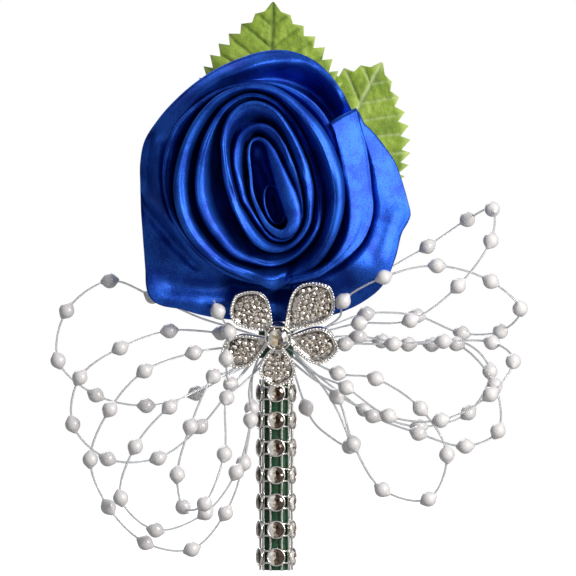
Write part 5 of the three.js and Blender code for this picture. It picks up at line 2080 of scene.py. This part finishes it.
@dataclass
class PearlSprays:
    """Thirteen sprays of small pearls moulded on clear line, bound to the stem."""

    line_mm: float = 0.4
    pearl_mm: float = 3.0
    pearl_rings: int = 15
    pearl_sides: int = 22
    pearl_neck: float = 0.26
    curve_steps: int = 6
    loose_end: str = "strand_left_6"

    def spot(self, place: tuple[int, int, int, int]) -> Vec3:
        """Return a route's point in metres."""
        return (place[0] / TENTHS_PER_METRE, place[1] / TENTHS_PER_METRE, place[2] / TENTHS_PER_METRE)

    def centreline(self, route: Route) -> list[Vector]:
        """Lay a smooth line through a route's points.

        Args:
            route: The route.

        Returns:
            Points along the line, close together.
        """
        spots = [Vector(self.spot(place)) for place in route]
        spots = [spots[0] * 2 - spots[1]] + spots + [spots[-1] * 2 - spots[-2]]
        knots = [0.0]
        for a, b in zip(spots, spots[1:]):
            knots.append(knots[-1] + max((b - a).length, 1e-6) ** 0.5)
        line: list[Vector] = []
        for i in range(1, len(spots) - 2):
            p0, p1, p2, p3 = spots[i - 1 : i + 3]
            t0, t1, t2, t3 = knots[i - 1 : i + 3]
            for step in range(self.curve_steps):
                t = t1 + (t2 - t1) * step / self.curve_steps
                a1 = p0.lerp(p1, (t - t0) / (t1 - t0))
                a2 = p1.lerp(p2, (t - t1) / (t2 - t1))
                a3 = p2.lerp(p3, (t - t2) / (t3 - t2))
                b1 = a1.lerp(a2, (t - t0) / (t2 - t0))
                b2 = a2.lerp(a3, (t - t1) / (t3 - t1))
                line.append(b1.lerp(b2, (t - t1) / (t2 - t1)))
        line.append(spots[-2])
        return line

    def line(self, name: str, path: list[Vector]) -> Object:
        """Make the line of one spray as a curve.

        Args:
            name: The object's name.
            path: The points that it follows.

        Returns:
            The curve object.
        """
        curve = bpy.data.curves.new(name, "CURVE")
        curve.dimensions = "3D"
        curve.bevel_depth = self.line_mm * MM / 2
        curve.bevel_resolution = 2
        curve.use_fill_caps = True
        spline = curve.splines.new("POLY")
        spline.points.add(len(path) - 1)
        for point, spot in zip(spline.points, path):
            point.co = (*spot, 1.0)
        return put(name, curve)

    def pearls(self, name: str, route: Route, path: list[Vector]) -> Object:
        """Make the pearls of one spray as one mesh, each a little out of round where the line enters.

        Args:
            name: The object's name.
            route: The route, which says where pearls sit.
            path: The line's own points.

        Returns:
            The mesh object.
        """
        shell = Shell()
        radius = self.pearl_mm * MM / 2
        for i, place in enumerate(route):
            if not place[3]:
                continue
            k = i * self.curve_steps
            along = (path[min(k + 1, len(path) - 1)] - path[max(k - 1, 0)]).normalized()
            shell.ball(self.spot(place), radius, self.pearl_rings, self.pearl_sides, along, self.pearl_neck)
        return shell.build(name)

    def build(self, line_finish: Material, pearl_finish: Material) -> None:
        """Build every spray: its line and its pearls.

        Args:
            line_finish: The line's material.
            pearl_finish: The pearls' material.
        """
        for node, route in ROUTES.items():
            path = self.centreline(route)
            line = self.line("line_" + node, path)
            dress(line, "pearl", line_finish, node)
            pearls = self.pearls("pearls_" + node, route, path)
            dress(pearls, "pearl", pearl_finish, node)
            loose = node == self.loose_end
            leave, far_end = (self.spot(route[-1]), "bare") if loose else (self.spot(route[0]), "object")


@dataclass(frozen=True)
class SoftLamp:
    """One square soft lamp: where it hangs and points in millimetres, its side, its watts and its colour."""

    name: str
    place_mm: Vec3
    target_mm: Vec3
    side_mm: float
    watts: float
    colour: str

    def hang(self) -> None:
        """Hang the lamp."""
        data = bpy.data.lights.new(self.name, "AREA")
        data.size = self.side_mm * MM
        data.energy = self.watts
        data.color = linear(self.colour)[:3]
        obj = put(self.name, data)
        place = Vector(self.place_mm) * MM
        obj.location = place
        obj.rotation_euler = (Vector(self.target_mm) * MM - place).to_track_quat("-Z", "Y").to_euler()


LAMPS = (
    SoftLamp("key", (400, -380, 130), (0, -15, -10), 240, 3.75, "#fffaf4"),
    SoftLamp("fill", (-420, -300, 160), (0, -15, -20), 160, 0.05, "#f3f7ff"),
    SoftLamp("rear", (-150, 380, 360), (0, -10, -10), 300, 1.0, "#ffffff"),
)


@dataclass
class Studio:
    """A pale floor, a white surround and plain soft lights, with a long lens in front."""

    sight_x_mm: float = 2.3
    sight_z_mm: float = -18.9
    sight_y_mm: float = -16.0
    view_mm: float = 111.2
    lens_mm: float = 400.0
    sensor_mm: float = 36.0
    floor_z_mm: float = -80.0
    floor_side_mm: float = 1600.0
    grain_mm: float = 6.0
    white: str = "#ffffff"
    room: str = "#f2f3f6"
    floor_dark: str = "#979797"
    floor_pale: str = "#a0a0a0"

    def camera(self) -> None:
        """Set up the camera level with the middle of the brooch, straight in front."""
        data = bpy.data.cameras.new("camera")
        data.lens = self.lens_mm
        data.sensor_width = self.sensor_mm
        data.clip_start = 0.01
        away = self.view_mm * self.lens_mm / self.sensor_mm
        obj = put("camera", data)
        obj.location = (self.sight_x_mm * MM, (self.sight_y_mm - away) * MM, self.sight_z_mm * MM)
        obj.rotation_euler = (math.pi / 2, 0, 0)
        bpy.context.scene.camera = obj

    def surround(self) -> None:
        """Set the world: white where the eye, a mirror or clear glass looks to the back, a dim room elsewhere."""
        world = bpy.data.worlds.new("surround")
        bpy.context.scene.world = world
        world.use_nodes = True
        tree = world.node_tree
        tree.nodes.clear()
        rays = add_node(tree, "LightPath").outputs
        way = add_node(tree, "TexCoord").outputs["Generated"]
        parts = add_node(tree, "SeparateXYZ", {"Vector": way}).outputs
        rear = {"Value": parts["Y"], "From Min": 0.75, "From Max": 1.0}
        behind = add_node(tree, "MapRange", rear, interpolation_type="SMOOTHSTEP").outputs["Result"]
        bounced = {0: rays["Is Glossy Ray"], 1: rays["Is Transmission Ray"]}
        mirrored = add_node(tree, "Math", bounced, operation="MAXIMUM").outputs[0]
        seen_behind = add_node(tree, "Math", {0: mirrored, 1: behind}, operation="MULTIPLY").outputs[0]
        white = add_node(tree, "Math", {0: rays["Is Camera Ray"], 1: seen_behind}, operation="MAXIMUM").outputs[0]
        overhead = {"Value": parts["Z"], "From Min": 0.0, "From Max": 1.0, "To Min": 0.03, "To Max": 0.8}
        dim = add_node(tree, "MapRange", overhead).outputs["Result"]
        room = add_node(tree, "Background", {"Color": linear(self.room), "Strength": dim}).outputs[0]
        back = add_node(tree, "Background", {"Color": linear(self.white), "Strength": 1.0}).outputs[0]
        mix = add_node(tree, "MixShader", {"Fac": white, 1: room, 2: back}).outputs[0]
        add_node(tree, "OutputWorld", {"Surface": mix})

    def floor_paint(self) -> Material:
        """Build the floor's material: matt and grey, and lit to white where the eye or a mirror sees it.

        Returns:
            The material.
        """
        material, tree, place = new_material("pale_floor")
        pores = add_node(tree, "TexNoise", grain(place, self.grain_mm, 3.0))
        rays = add_node(tree, "LightPath").outputs
        bounced = {0: rays["Is Glossy Ray"], 1: rays["Is Transmission Ray"]}
        mirrored = add_node(tree, "Math", bounced, operation="MAXIMUM").outputs[0]
        shared = add_node(tree, "Math", {0: mirrored, 1: 0.1}, operation="MULTIPLY").outputs[0]
        away = add_node(tree, "VectorMath", {0: place}, operation="LENGTH").outputs["Value"]
        fade = {"Value": away, "From Min": 0.11, "From Max": 0.19, "To Min": 0.72}
        spread = add_node(tree, "MapRange", fade, interpolation_type="SMOOTHSTEP").outputs["Result"]
        seen = add_node(tree, "Math", {0: rays["Is Camera Ray"], 1: spread}, operation="MULTIPLY").outputs[0]
        lift = add_node(tree, "Math", {0: seen, 1: shared}, operation="MAXIMUM").outputs[0]
        return surface(material, {
            "Base Color": ramp(tree, pores.outputs["Fac"], [(0.3, self.floor_dark), (0.7, self.floor_pale)]),
            "Roughness": 0.9,
            "Specular IOR Level": 0.1,
            "Emission Strength": lift,
            "Emission Color": linear(self.white),
        })

    def floor(self) -> None:
        """Lay a pale floor that keeps the brooch's soft shadow."""
        half, z = self.floor_side_mm * MM / 2, self.floor_z_mm * MM
        shell = Shell()
        shell.add([(-half, -half, z), (half, -half, z), (half, half, z), (-half, half, z)], [(0, 1, 2, 3)])
        obj = shell.build("floor")
        obj.data.materials.append(self.floor_paint())

    def build(self) -> None:
        """Set up the camera, the surround, the floor and the lamps."""
        self.camera()
        self.surround()
        self.floor()
        for lamp in LAMPS:
            lamp.hang()
        bpy.context.scene.view_settings.view_transform = "Standard"
        log.info("studio: camera, floor and lamps are set")


TOP_LEAF = ClothLeaf("cloth_leaf_top", "leaf_top", -0.6, 36.3, 2.0, 3.2, 1.0)
RIGHT_LEAF = ClothLeaf("cloth_leaf_right", "leaf_right", 20.4, 24.6, 28.0, 2.4, 2.2)
# Colours of the stones' painted reflections, picked by each facet's tone: pale, tawny and black.
PAVE_GLASS = FoiledGlass("pave_glass", ("#100d0a", "#554b42", "#b0a497", "#fffaf2", "#74685c", "#d9ccbc", "#ffffff"))
BAND_GLASS = FoiledGlass("band_glass", ("#fbfaf8", "#f4f1ec", "#e6ddd0", "#6d5540", "#2a1d15", "#120d0b", "#4d3a2c"))
HUB_GLASS = FoiledGlass("middle_glass", ("#fbfaf6", "#f3ece0", "#d9c49a", "#7d7468", "#2b2724", "#8b8a94", "#f6f4f0"))


def main() -> None:
    """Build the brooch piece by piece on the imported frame."""
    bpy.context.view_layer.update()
    Studio().build()
    PearlSprays().build(Nylon().make(), Pearl().make())
    SatinRose().build(Satin().make())
    TOP_LEAF.build(LeafCloth("leaf_cloth_dark_vein", "#4c6624").make())
    RIGHT_LEAF.build(LeafCloth("leaf_cloth_pale_vein", "#b4c488").make())
    plate = SilverPlate().make()
    RhinestoneFlower().build(plate, PAVE_GLASS.make(), HUB_GLASS.make())
    StoneBanding().build(plate, BAND_GLASS.make())
    StemAndBack().build(FloralTape().make(), FeltCloth().make(), GlueFoam().make(), NickelSteel().make())


if __name__ == "__main__":
    main()
